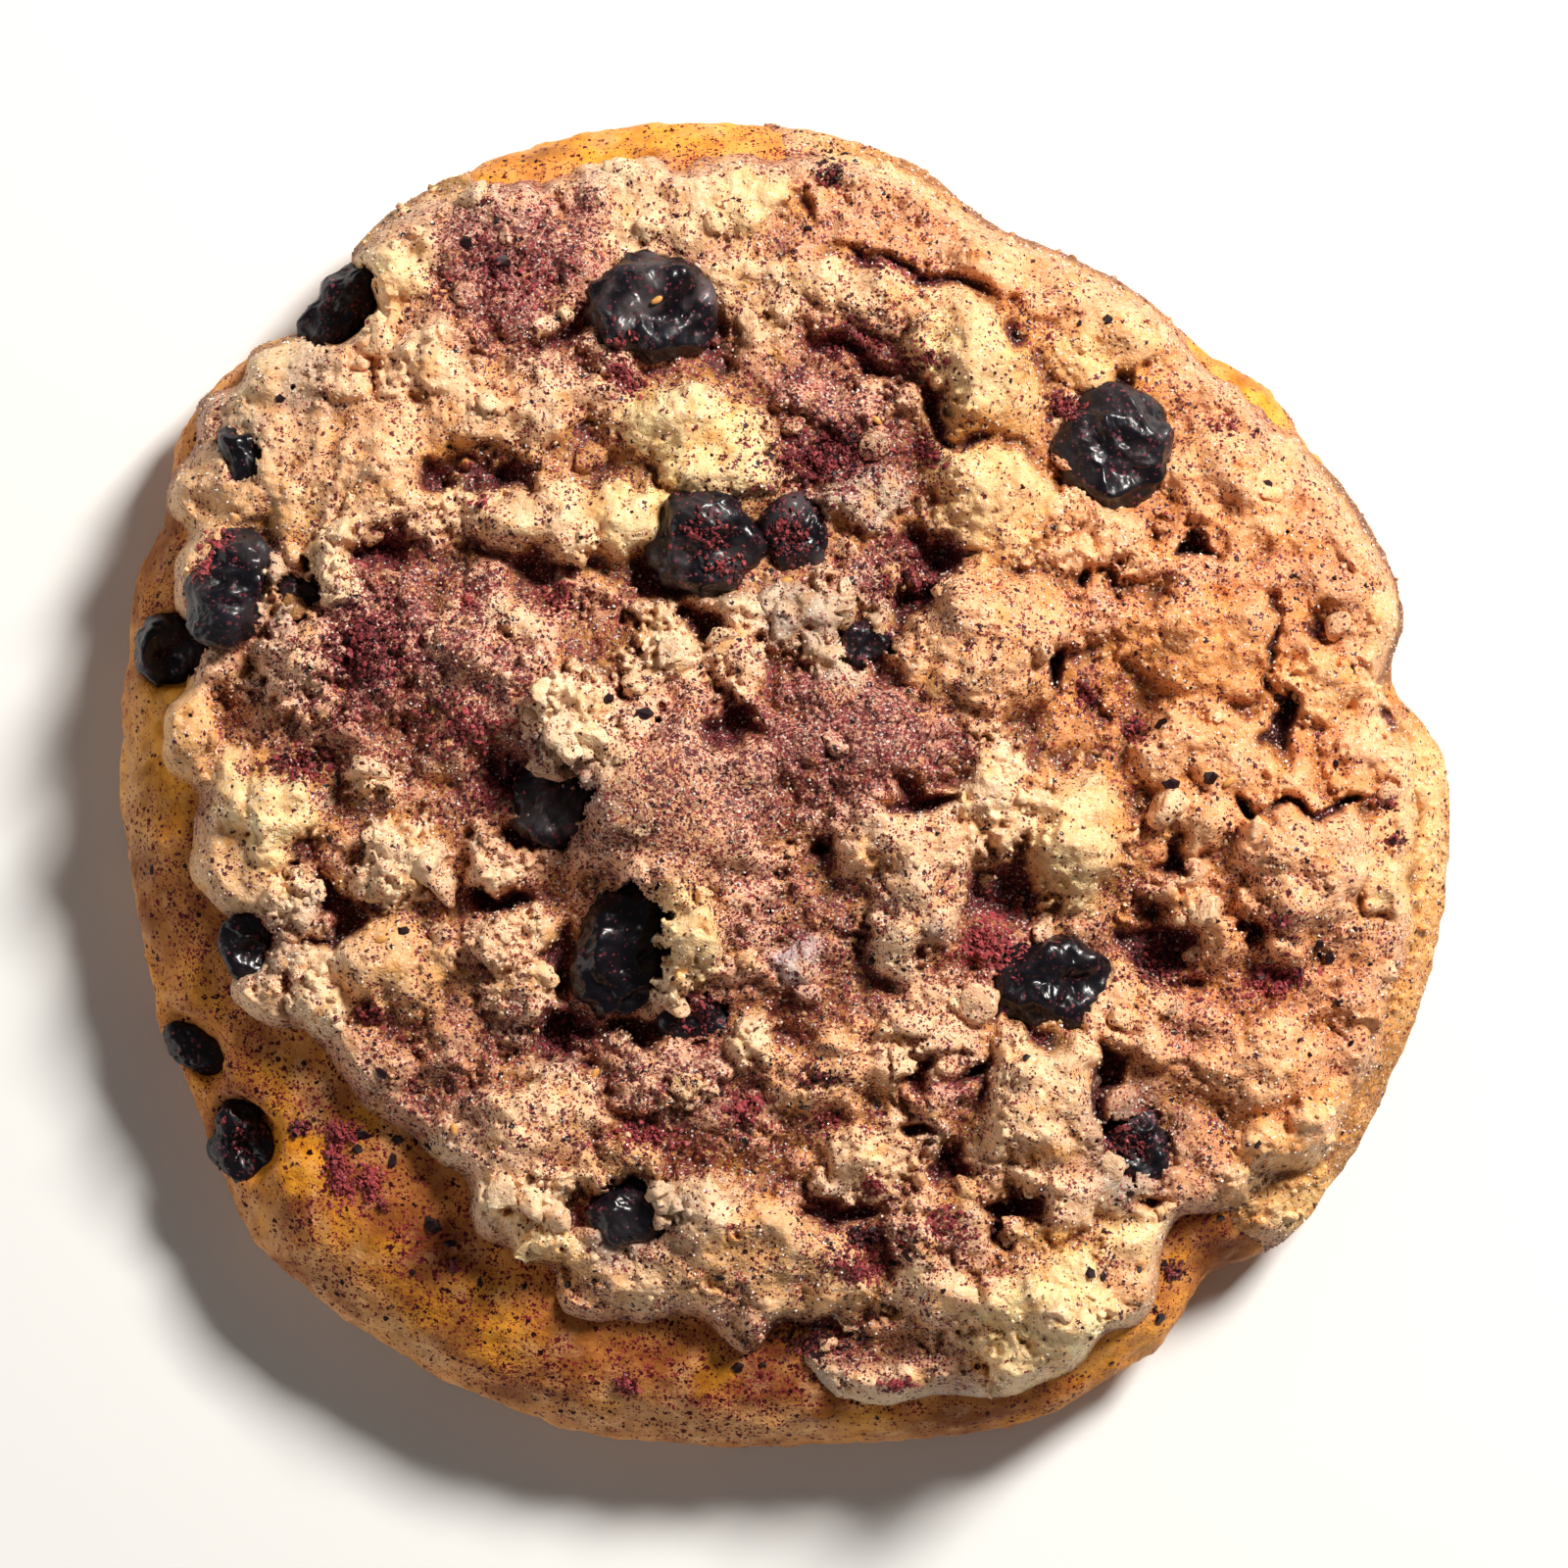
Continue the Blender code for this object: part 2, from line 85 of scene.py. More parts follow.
# The height from one shelf of broken crumb to the next.
SHELF = 1.2
# A quarter of the cap runs on under its neighbours, lower with each row.
OVERLAP_ROWS = 3
SINK = (0.0, 0.004, 0.1, 1.0)
# How low a quarter reaches at its cuts.
CUT_LEVEL = 2.5
BERRIES = tuple(f"berry_{number:02}" for number in range(1, 20))
UP = Vector((0, 0, 1))
# Half the width of the rasters, and the height from which they look down.
HALF_RASTER = 52.5
ABOVE = 60
# How far a lump's soft foot runs past its hard top.
FOOT = 1.35
# How far under the berries' own top the crumb of their wells lies, at the edge and in the middle.
WELL, WELL_CORE = 2.2, 2.6
# The level of crumb next to the dough, and under the dough where there is no cap.
ON_DOUGH, UNDER_DOUGH = 0.4, 1.3
# Lumps that come near the frame's top are pressed into this height.
TOP_ROOM, TOP_SQUEEZE = 2.0, 1.8
# Camera over the cookie: its height, the height that fills the frame, and the frame's width there.
EYE, SUBJECT, FRAME_WIDTH, SENSOR = 0.65, 0.012, 0.12, 36.0
# Lights: name, azimuth, elevation, distance, size, power, colour.
LIGHTS = (
    ("key light", 48, 44, 0.9, 0.2, 12.6, (1.0, 0.965, 0.91)),
    ("fill light", 200, 12, 1.0, 0.7, 2.3, (1.0, 0.96, 0.92)),
)
# Sizes of powder flecks: how many in a metre, share and least of them, raggedness, two colours.
FLECKS = (
    (4800.0, 1.5, 0.07, 0.00014, (0.17, 0.013, 0.016), (0.40, 0.06, 0.062)),
    (3100.0, 1.4, 0.05, 0.00022, (0.06, 0.006, 0.009), (0.32, 0.036, 0.04)),
    (2100.0, 0.6, 0.035, 0.00034, (0.008, 0.002, 0.004), (0.15, 0.014, 0.018)),
)
FLAKE_DARK, FLAKE_LIGHT = np.array((0.016, 0.003, 0.006)), np.array((0.46, 0.075, 0.085))

# Lumps of the cap: x, y, half length, half width, turn, rise, tone, how crumbly.
LUMPS = (
    (-21.5, 28.3, 5.4, 3, 10, 2.2, "cream", 0.3), (-18.4, 19.9, 4.6, 2.9, 0, 2.6, "cream", 0.2),
    (-11.7, 20.4, 2.8, 2.1, 10, 2.2, "butter", 0.2),
    (-6.2, 26, 5.2, 3.2, -25, 2.4, "butter", 0.2), (-24.3, 22.9, 1.1, 0.9, 0, 1.2, "pale", 0.8),
    (-23.4, 19.1, 1.2, 1, 0, 1.4, "pale", 0.8), (-26.2, 21.2, 1.8, 1.4, 60, 1.4, "pale", 0.6),
    (-16, 17, 1.9, 1.2, -20, 1.2, "pale", 0.8), (-21.6, 10.2, 5, 4.2, 120, 1.9, "pink", 0.3),
    (-20.8, 12.4, 2.4, 1, -15, 2.2, "pale", 0.6), (-15.6, 4.6, 3.3, 3, 110, 3.4, "pale", 1),
    (-13.4, 2.6, 2.2, 2.2, 0, 3, "pale", 1), (-9, 12.2, 1.6, 1.2, 0, 1.8, "pale", 0.9),
    (-8.2, 9, 2, 1.6, -20, 2.4, "pale", 0.9), (-11.3, 9.6, 1, 0.7, 0, 1.6, "pale", 0.9),
    (-3.6, 8.8, 3, 2, 90, 2.4, "blush", 0.8), (-0.6, 13, 3.6, 1.8, 0, 2, "grey", 0.5),
    (-3.7, 13.4, 1.3, 1.1, 0, 2.6, "pale", 0.8), (6.5, 21.6, 3.2, 1.6, -5, 1.8, "grey", 0.7),
    (16.3, 21.5, 4.2, 3.2, -30, 2.6, "butter", 0.15), (12.8, 18.7, 1, 0.5, -30, 1.2, "pale", 0.8),
    (14.5, 19, 1, 0.8, 0, 1.4, "pale", 0.8), (3.5, 14, 2.4, 1, 90, 1.6, "pale", 0.8),
    (7.6, 12.6, 1.8, 0.8, -45, 1.6, "pale", 0.8), (6.6, 15.4, 2, 1.2, 0, 1.2, "pink", 0.8),
    (3, 10, 1.4, 1.2, 0, 1.8, "pale", 1), (4.4, 7.8, 2, 1.3, -20, 1.6, "grey", 1),
    (15.3, 10.6, 5.4, 4.8, 60, 4, "amber-pink", 0.25),
    (22.5, 18.5, 3.8, 2.6, 0, 2.2, "pale", 0.9), (22.6, 12.8, 2.6, 2, 0, 1.8, "pink", 0.8),
    (16.7, 4.3, 1.4, 0.9, 0, 1.6, "pale", 0.8), (17, 1.5, 2, 1.4, 0, 1.8, "pale", 0.8),
    (20.7, 1.2, 1.4, 1.2, 0, 1.6, "pale", 0.8), (13.3, 1.2, 0.9, 0.9, 0, 1.2, "pink", 0.8),
    (4.5, 3.2, 8, 3.4, 0, 2.6, "mauve", 0.4), (-12.8, 47.2, 2, 1.2, 10, 0.8, "pale", 0.5),
    (-17.2, 36, 1.6, 1.2, 30, 1.4, "pale", 0.6), (-23.2, 33.2, 2, 1.2, 10, 1.6, "pink", 0.6),
    (-26.2, 31.2, 1.8, 1.6, 0, 1.8, "pale", 0.5), (-19, 29.6, 6.5, 2.6, 10, 2.2, "blush", 0.4),
    (-20, 40, 6, 4, 30, 1.2, "mauve", 0.5), (-2.5, 44.5, 2.4, 1.6, 0, 0.8, "butter", 0.3),
    (-10, 43, 5, 3, 0, 0.8, "cream", 0.3), (-2, 37.5, 3, 3, 0, 1, "cream", 0.3),
    (7, 37.3, 8, 1.6, -14, 1.6, "cream", 0.2), (18.5, 38, 5, 1.4, -25, 1.2, "cream", 0.2),
    (15, 31, 4.6, 3.6, 125, 3.4, "butter", 0.1), (24, 33.2, 3.4, 2, 0, 1.4, "butter", 0.3),
    (2.4, 29, 2.4, 1.4, 0, 1.4, "mauve", 0.6), (7.4, 29.2, 2.2, 1.6, 0, 1.6, "pink", 0.7),
    (-29, 39.5, 3, 1.6, 0, 1.2, "butter", 0.3), (-27.8, 39.8, 1, 0.9, 0, 1, "pale", 0.6),
    (-35.5, 32, 2, 2, 0, 1, "grey", 0.4), (-33.2, 30.6, 1.8, 1.2, 10, 1.6, "pale", 0.6),
    (-27.2, 31, 2.8, 2, 15, 2.4, "pale", 0.5), (-39.6, 30.8, 2.4, 2.2, 80, 2, "butter", 0.1),
    (-33.6, 36.2, 2.2, 1.4, 90, 1.4, "butter", 0.3), (-31, 36, 2.5, 2.5, 0, 0.8, "tan", 0.4),
    (-36, 28.8, 1.4, 1.6, 0, 1.2, "grey", 0.6), (-44.8, 22.6, 2.8, 1.8, 20, 1.4, "tan", 0.1),
    (-44.3, 17.6, 2.6, 2.4, 90, 1.8, "tan", 0.1), (-41.5, 21.5, 3, 1.6, 20, 1.2, "tan", 0.2),
    (-40.5, 27, 2, 1.4, 20, 1.4, "grey", 0.3), (-37, 25, 3.4, 2.8, 100, 1.8, "cream", 0.3),
    (-31, 24.4, 4.2, 4, 60, 2.6, "cream", 0.2), (-33.6, 16.8, 3.6, 1.7, 95, 2.8, "pale", 0.8),
    (-36.2, 9.2, 3.2, 2.6, 90, 2.6, "pink", 0.8), (-38.8, 14.5, 3.2, 0.9, 90, 1.4, "grey", 0.8),
    (-36.8, 19.9, 1.8, 1.8, 0, 1.4, "tan", 0.2), (-46.8, 5, 4.2, 2.6, 95, 1.8, "amber", 0.1),
    (-31.5, 10.5, 5, 3.6, 75, 1.6, "mauve", 0.7), (-28, 21, 1.2, 1, 0, 1, "pale", 0.8),
    (-39.8, 8, 1.4, 1, 0, 1, "grey", 0.8), (33.5, 22.8, 4.4, 2.8, -35, 1.8, "cream", 0.2),
    (28, 17.3, 2, 1.6, 0, 1.6, "pale", 0.6), (33.5, 15.6, 3.6, 2.2, 0, 1.6, "pink", 0.5),
    (32, 10.8, 5, 3.4, -10, 2.4, "tan", 0.15), (43.7, 10.4, 1.3, 0.9, 0, 1.2, "pale", 0.5),
    (46.5, 11.5, 2.4, 1.8, 90, 1.2, "butter", 0.5), (41.2, 7.2, 3.2, 2, 0, 1.8, "butter", 0.6),
    (47.6, 6.6, 2, 1.2, -20, 1.4, "butter", 0.3), (49.6, 1.5, 4, 1.6, 90, 1, "butter", 0.1),
    (45, 2.6, 2, 1.6, 0, 1.4, "pale", 0.5), (36.3, 3.7, 1.1, 1.2, 0, 1.2, "tan", 0.5),
    (31.8, 2.2, 4, 3.4, 0, 2.2, "cream", 0.35), (-41.6, -1, 2.3, 1.6, 95, 1.6, "butter", 0.2),
    (-38.6, -2.9, 2.7, 2.2, 90, 2.6, "butter", 0.25), (-37.4, -7.8, 1.4, 1.3, 0, 2.2, "pale", 1),
    (-42.5, -6.6, 3.2, 2.4, 0, 1.2, "tan", 0.2), (-41.5, -15.8, 3, 1.6, 0, 1.2, "cream", 0.5),
    (-38.5, -14.3, 1.5, 1, 0, 1.6, "grey", 0.9), (-35.3, -16.6, 2.8, 1.5, 105, 2.2, "pale", 0.8),
    (-33.8, -13, 1.6, 1.6, 0, 1.6, "pale", 0.9), (-30, -13.6, 3.6, 2.8, 160, 2, "tan", 0.2),
    (-35.9, -9.9, 1, 0.7, 0, 1.2, "grey", 0.8), (-29, -5.6, 2.4, 2.4, 0, 2.2, "pale", 1),
    (-27.3, -3.2, 1.2, 0.8, 0, 1.2, "pale", 0.9), (-31, 0.4, 1.2, 1.2, 0, 1.6, "pale", 0.9),
    (-7.4, -0.8, 7.2, 6.2, 125, 3.8, "pink", 0.3), (-21.6, -5.9, 1.9, 1.6, 0, 2.2, "blush", 0.9),
    (-20.8, -11.4, 2.9, 2.1, -10, 2.4, "blush", 0.9), (-20, -16, 2.4, 1.6, 0, 2, "blush", 0.9),
    (-20.3, -18.6, 0.8, 1, 0, 1.2, "pale", 0.9), (-7.2, -10.7, 2.9, 1.9, 115, 3.4, "butter", 0.6),
    (-9, -14.6, 1.9, 1.4, 0, 2.2, "pale", 0.7), (-2.8, -11, 3.6, 2.6, 90, 2, "pink", 0.5),
    (1.2, -13.4, 1.3, 1.5, 0, 1.4, "lilac", 0.1), (-8, -21.6, 4, 2, 0, 1.6, "pink", 0.6),
    (-16.6, -22.2, 2.2, 1.2, -25, 1.8, "pale", 0.7), (-17.8, -25, 3.6, 2, 0, 1.8, "cream", 0.2),
    (-1.6, -19.7, 1.6, 1.4, 0, 1.8, "pale", 0.8), (4.5, -2.2, 4, 2, -10, 2.2, "pink", 0.6),
    (1.2, -3.4, 1.8, 1.6, 90, 1.8, "blush", 0.7), (9.8, -6, 5, 3.6, 100, 3.6, "blush", 0.3),
    (8.6, -11.5, 3.6, 2, 95, 2.6, "pale", 0.4), (16, -1.6, 3.3, 2.4, -20, 2.8, "pale", 0.5),
    (22.1, -4.2, 4.2, 2.8, 80, 3.4, "butter", 0.35), (26, -3.6, 1, 0.8, 0, 1.4, "pale", 0.8),
    (25.8, -5.8, 1, 0.6, 0, 1.4, "pale", 0.8), (15.7, -7.6, 0.9, 0.9, 0, 1.6, "butter", 0.6),
    (21.1, -18.3, 1.1, 0.9, 0, 1.6, "pale", 0.7), (19.8, -23.2, 4.4, 4, 85, 3.8, "cream", 0.3),
    (26.5, -17.5, 3, 3, 0, 2, "cream", 0.3), (11.5, -18, 3.6, 3.2, 120, 2.6, "blush", 0.6),
    (8.5, -19.6, 0.8, 0.8, 0, 2, "pale", 0.6), (5.6, -20.8, 1.6, 0.9, -35, 1.6, "blush", 0.6),
    (12, -23.3, 1.8, 1.4, 0, 1.8, "mauve", 0.5), (4, -22, 4.4, 2.6, 0, 2, "amber-pink", 0.2),
    (17, -21.3, 1, 1, 0, 1.8, "pale", 0.8), (32.4, -2, 3, 2.4, 0, 2.2, "cream", 0.4),
    (38.2, -0.2, 1.8, 1.6, 0, 2, "cream", 0.5), (43.4, 0.1, 1.6, 1.2, 0, 1.6, "amber", 0.3),
    (35.9, -3, 0.9, 0.9, 0, 1.2, "grey", 0.4), (39.6, -6.4, 4.6, 4.4, 90, 3.4, "blush", 0.3),
    (47.3, -6, 3.4, 2.4, 90, 1, "butter", 0.1), (31.2, -6.6, 1.4, 1, 0, 1.4, "grey", 0.7),
    (29.2, -8.7, 1.1, 1.1, 0, 1.4, "blush", 0.8), (31.6, -9.2, 1.4, 1, 0, 1.4, "pale", 0.8),
    (33, -11.9, 2.2, 1.2, -30, 1.8, "tan", 0.6), (40.9, -25.2, 1.8, 1.6, 0, 1.8, "butter", 0.4),
    (36, -21, 4, 2.4, 0, 1.4, "cream", 0.2), (30, -18, 3, 2, 0, 1.2, "mauve", 0.6),
    (-25.5, -28.5, 1.4, 1, 0, 1.4, "pale", 0.7), (-25.3, -33, 0.9, 0.8, 0, 1.2, "pale", 0.7),
    (-19.6, -31, 4, 1.4, 5, 2.6, "pale", 1), (-22.7, -32.7, 0.9, 0.7, 0, 2, "pale", 1),
    (-18, -34.4, 2.6, 1.6, -20, 2.6, "butter", 0.5), (-16.6, -31.8, 0.9, 1.2, 0, 2.6, "pale", 1),
    (-20.6, -27.4, 4.6, 3.2, 15, 2, "blush", 0.3), (-14.6, -28.8, 2.2, 1.2, 30, 1.6, "grey", 0.7),
    (-12.5, -28.5, 3, 1.4, 0, 1.6, "tan", 0.4), (-10.3, -30.8, 0.8, 1.3, 20, 2, "pale", 1),
    (-9.5, -32.3, 0.7, 0.6, 0, 1.6, "pale", 1), (-6.5, -31.6, 2, 1.6, 0, 2, "pale", 0.6),
    (-4.2, -31.2, 1.2, 0.6, -50, 1.6, "pale", 1), (-4, -35, 5, 3.4, -8, 1.6, "tan", 0.2),
    (3, -36.8, 5, 3, 0, 1.4, "tan", 0.3), (-12.5, -36, 3.6, 2, -30, 1.4, "cream", 0.1),
    (7.3, -28.2, 3.4, 2.6, 60, 2, "cream", 0.3), (2, -29.4, 0.9, 0.8, 0, 1.8, "pale", 0.8),
    (3.6, -31, 1.7, 0.9, 0, 1.6, "grey", 0.6), (12.5, -33.2, 3.4, 3.8, 0, 2.4, "blush", 0.5),
    (13, -38.2, 3.4, 3, 0, 1.8, "cream", 0.3), (18, -38.6, 3, 3.2, 0, 2, "blush", 0.5),
    (19.9, -41.2, 4.8, 4, 60, 3.4, "butter", 0.35), (22.3, -43.4, 1.8, 1.5, 0, 2.4, "pale", 0.5),
    (21.6, -26.4, 3, 2.6, 0, 2.2, "amber-pink", 0.4),
    (18.4, -29.2, 0.8, 1.4, 0, 1.8, "pale", 0.8), (21.3, -30.6, 2.5, 3.1, 0, 2.6, "blush", 0.5),
    (14.8, -29, 1.4, 0.9, 0, 1.4, "blush", 0.8), (14, -30.6, 1.1, 0.9, 0, 1.4, "amber", 0.6),
    (12.1, -26.8, 0.9, 1.3, 0, 1.6, "grey", 0.8), (18, -34.3, 1.4, 1, 0, 1.4, "tan", 0.7),
    (24.6, -34, 4, 2, 0, 0.9, "butter", 0.4), (25.4, -30.3, 2.2, 2, 0, 1.8, "grey", 0.5),
    (36.5, -27.5, 1.5, 1.5, 0, 1.4, "butter", 0.4), (41.3, -25.9, 1.4, 1.4, 0, 1.8, "pale", 0.3),
    (39.6, -27.7, 1.6, 1.5, 0, 1.4, "pale", 0.4), (41, -31, 1.6, 1.2, 30, 1, "butter", 0.3),
    (35.8, -31.4, 1.1, 1, 0, 1, "cream", 0.4), (27.6, -38, 1.8, 3.4, 0, 0.4, "amber", 0.3),
    (7.4, -46.3, 2.8, 1.6, 0, 1.4, "pale", 0.2), (13, -47, 2.6, 1.1, 10, 1, "grey", 0.2),
    (21.3, -46.3, 1.2, 1.1, 0, 1, "pale", 0.2), (1.6, -46, 2.4, 1.4, -10, 1, "grey", 0.3),
)
# Hollows and cracks between them: x, y, half length, half width, turn, depth.
HOLLOWS = (
    (-22, 24, 4, 1.2, -10, 1.2), (-24, 23.2, 3, 0.7, 0, 1.4), (-16, 16.5, 6, 1.1, -5, 1.4),
    (-4, 4.8, 1.9, 1.5, 0, 2.6), (-6.6, 12.2, 1.6, 0.8, 90, 1.8), (-19.4, 0.6, 1.8, 1.6, 0, 2.2),
    (-9, 15.8, 4, 1.5, 0, 1.6), (10.8, 17, 2.2, 1.6, 0, 2.5), (9.4, 13.6, 1.7, 1.2, 90, 2.4),
    (21.1, 9, 1.3, 0.5, 90, 3), (22.7, 15.1, 0.6, 0.4, 0, 1.5), (1, 44, 1.4, 0.8, -60, 1.2),
    (-16, 34.4, 2.2, 1, 20, 1.2), (-5, 33, 2, 1.6, 90, 1), (9, 39, 5.5, 0.8, -16, 1.2),
    (5, 32.6, 4.2, 0.9, -30, 1.4), (17.8, 33.6, 2, 1, -50, 1.4), (12, 28.3, 3.4, 0.7, -40, 1.8),
    (26.2, 31, 1, 0.8, 0, 1.2), (-30.4, 17.6, 2.2, 1.8, 0, 2.4), (-26, 23.7, 1.6, 1, -20, 1.6),
    (30.8, 17.6, 1.5, 0.4, 10, 2.5), (37.6, 11, 2.4, 0.4, 95, 1.2), (37.4, 5, 2, 1, 90, 2.2),
    (41, 11.8, 1.6, 1.3, 0, 0.8), (46.3, 4.4, 1.8, 0.7, -45, 2.4), (46.6, 8.6, 1, 0.5, 20, 1.2),
    (-36.8, -6, 0.4, 0.4, 0, 1.5), (-41, -3.8, 0.3, 0.3, 0, 1.2),
    (-40.4, -11.8, 2.4, 2.2, 0, 2.2), (-34.2, -9, 2.4, 0.6, -20, 2.8),
    (-34, -11.3, 1.8, 0.9, 35, 2.8), (-21.8, -8.6, 1.8, 1, 0, 2.6), (-18.5, -4, 1.8, 1, 0, 2.2),
    (-16.5, -18.6, 2.4, 1.8, 0, 3), (-11, -19, 3, 1, 0, 2), (-16.5, -13, 1.2, 2.4, 0, 1.6),
    (10.6, -0.9, 2.8, 0.7, -8, 2.8), (16.6, -8, 3.4, 2.4, 0, 1.6), (24.6, -23, 3.2, 0.7, 90, 3),
    (13.8, -21.8, 1.2, 0.5, 15, 2), (10.8, -21.6, 1, 1.2, 0, 1.4), (3.4, -5.6, 1, 0.4, 0, 1.4),
    (19, -18.5, 3, 0.7, 0, 1.6), (36.2, -1.7, 1.6, 0.7, -35, 2.6), (41, -1.4, 4, 0.4, 10, 2),
    (35.8, -11.6, 1.2, 0.7, 0, 1.6), (28, -12.5, 2.4, 2.2, 0, 2.6), (29.8, -6.1, 1, 0.8, 0, 2.2),
    (45.2, -8.8, 2, 0.4, -75, 0.8), (34.5, -16.8, 2.8, 1.6, 0, 0.8), (13, -28.5, 1, 1.8, 0, 2.6),
    (9.8, -26.5, 1.8, 0.8, 0, 2), (17.4, -32.3, 2.6, 0.9, -10, 2.6), (16.3, -34, 0.7, 0.9, 0, 2),
    (5.5, -32.6, 4, 0.8, -4, 1.4), (28.2, -31.8, 1.4, 0.6, 10, 1.6),
    (34, -33.8, 2.2, 1.6, -30, 1.4), (-11.9, -30.4, 1.4, 0.8, 0, 1.6),
    (1.6, -41.9, 3.4, 1.6, 0, 1.4), (-4, -45.7, 1.6, 0.7, -35, 1), (15.5, -48.4, 2, 0.8, 0, 0.6),
    (0.1, -41.9, 6, 0.9, -4, 1.4), (-17.4, -19.2, 2.2, 1.8, 20, 1.4),
    (-21.6, 1.2, 1.6, 2, 0, 1.2), (-31.4, 18.2, 1.6, 1.2, 20, 1.2),
)
# How much powder lies on each tone.
POWDER = {
    "cream": 0.36,
    "butter": 0.14,
    "pale": 0.2,
    "blush": 0.48,
    "pink": 0.7,
    "mauve": 1.0,
    "grey": 0.35,
    "amber": 0.25,
    "amber-pink": 0.45,
    "tan": 0.3,
    "lilac": 0.2,
    "floor": 0.62,
}

# Patches: x, y, half length, half width, turn, strength.
DUSTED = (
    (-27.6, 10.5, 10.5, 8, 60, 0.7), (-31.4, 11.6, 5.6, 3.6, 80, 1), (2.4, 3.8, 11, 5, 5, 0.75),
    (-20.9, 38.3, 6, 5, 0, 0.65), (-14.9, 33, 7, 3.4, -25, 0.7), (7.6, 34.2, 6, 4, 0, 0.7),
    (3.1, 24.8, 7.5, 4.2, 0, 1), (11.3, 25.2, 4, 3, 0, 0.9), (9.5, 15.8, 4, 4, 0, 1),
    (19.6, 35.3, 5, 3, 0, 0.6), (-7.4, -22.5, 10, 4, 0, 0.6), (-9, -27.5, 5, 3, 0, 1),
    (6.5, -34.5, 5, 3.4, 0, 0.9), (12.4, -33, 3.4, 3.4, 0, 0.8), (-2.9, -24.7, 4, 3, 0, 0.8),
    (5.4, -13, 8, 6, 0, 0.45), (28.6, -13.1, 4.5, 3, 0, 0.9), (36.9, -11.2, 5, 5, 0, 0.7),
    (29.4, -18, 6, 3, 0, 0.6), (15.1, -12, 3, 3, 0, 0.9), (33, 26, 4, 3, 0, 0.6),
    (30, 15, 6, 5, 0, 0.5), (18.9, 10.5, 6, 5, 0, 0.4), (-8.2, -0.7, 8, 6, 120, 0.6),
    (-26, -23, 6, 5, 0, 0.4), (-11.9, -26, 10, 5, 0, 0.5), (1.6, -42.7, 5, 2.2, 0, 0.9),
    (-3, -37, 8, 3, 0, 0.35), (-20, 1, 4, 3, 0, 0.8), (-17, -18.5, 4, 3.4, 0, 1),
    (0.1, 0.2, 5, 4, 0, 1),
)
# Patches where the crumb is mixed towards a dark grey.
GREYED_PATCHES = (
    (-19.5, 1.5, 3.4, 3, 0, 0.8), (-16.6, -18.8, 3, 2.6, 0, 0.8), (5.4, 24.8, 4, 2.2, 0, 0.5),
    (-16.8, -1.1, 4.4, 3.6, 0, 1), (3.6, 12, 5, 3, 0, 0.6), (26.3, -26.6, 4, 4.6, 0, 0.9),
    (25.4, -30, 2.4, 2.4, 0, 0.7), (-11.5, -32.6, 4.4, 3, 0, 0.9), (-12.4, -34.6, 2.6, 2, 0, 1),
    (-40.5, -12, 4, 3, 0, 0.6), (-37, 30, 2.4, 4, 60, 0.5), (10.8, -11.3, 1.4, 1.2, 0, 0.8),
)
# Amber patches: partly buttery crumb, partly a painted glow of light through the crumb in its
# hollows.
AMBER_AND_GLOW = (
    (14.4, 27, 3, 1.4, 0, 0.9), (18.4, 34.2, 3.4, 2, 110, 0.8), (20.8, 7, 2, 3, 0, 0.6),
    (-23.5, 24.4, 4.4, 1.4, -10, 1), (26.6, 30.4, 1.6, 2.4, 40, 0.9), (34.5, -33.6, 3, 2.6, 0, 1),
    (38.6, -28, 1.6, 2.2, 0, 0.8), (42.3, -23.6, 2, 1.4, 0, 0.8), (-8, -3, 7, 4, 120, 0.4),
    (30, 9, 7, 3, 0, 0.5), (-12, -28, 6, 3, 0, 0.5), (20.6, -34.6, 1.6, 1.2, 0, 1),
    (13.6, -30.8, 1.4, 1.4, 0, 1), (20.6, -27.6, 2, 0.8, 20, 1), (-4, -28.4, 2, 1.2, 60, 0.8),
    (-17.8, -37.5, 5, 2, -10, 0.7), (1, 44, 1.4, 0.8, -60, 0.9),
)
# Where the cap's edge runs out softly instead of standing as a step.
SOFT_EDGE = (
    (-8, 46.5, 14, 3.4, 0, 0.8), (-12.5, -36.5, 4.4, 3, -30, 0.8), (-41.5, 0, 4, 10, 0, 0.9),
    (-25, -28, 9, 4.5, -42, 0.9), (15, -45.5, 14, 4, 8, 0.9), (-33, -19, 8, 4, -45, 0.9),
)
# Where the cap runs on over the dough to its outline.
FULL_EDGE = (
    (17, 45, 19, 8.5, -26, 1), (-28, 44, 9, 5, -35, 1), (46, 17, 12, 6, -65, 1),
    (50.5, -4, 6.5, 13, 0, 1), (42.5, -24.5, 8, 13, -35, 1), (39.6, -29, 5, 5, 0, 1),
)
# Where little powder fell.
CLEAN = (
    (34, 13, 17, 27, 25, 1), (21, 40, 20, 9, -25, 0.8), (37, -16, 13, 15, 0, 0.8),
    (-31, 28, 9, 9, 0, 0.4),
)
# Where the cap stays back from the rim and the crust shows.
BARE_EDGE = (
    (-9, 50.6, 12.5, 3.6, 0, 1), (-18, 48.6, 4, 2.4, 20, 1), (37.4, 29.6, 3, 2, -60, 0.8),
)
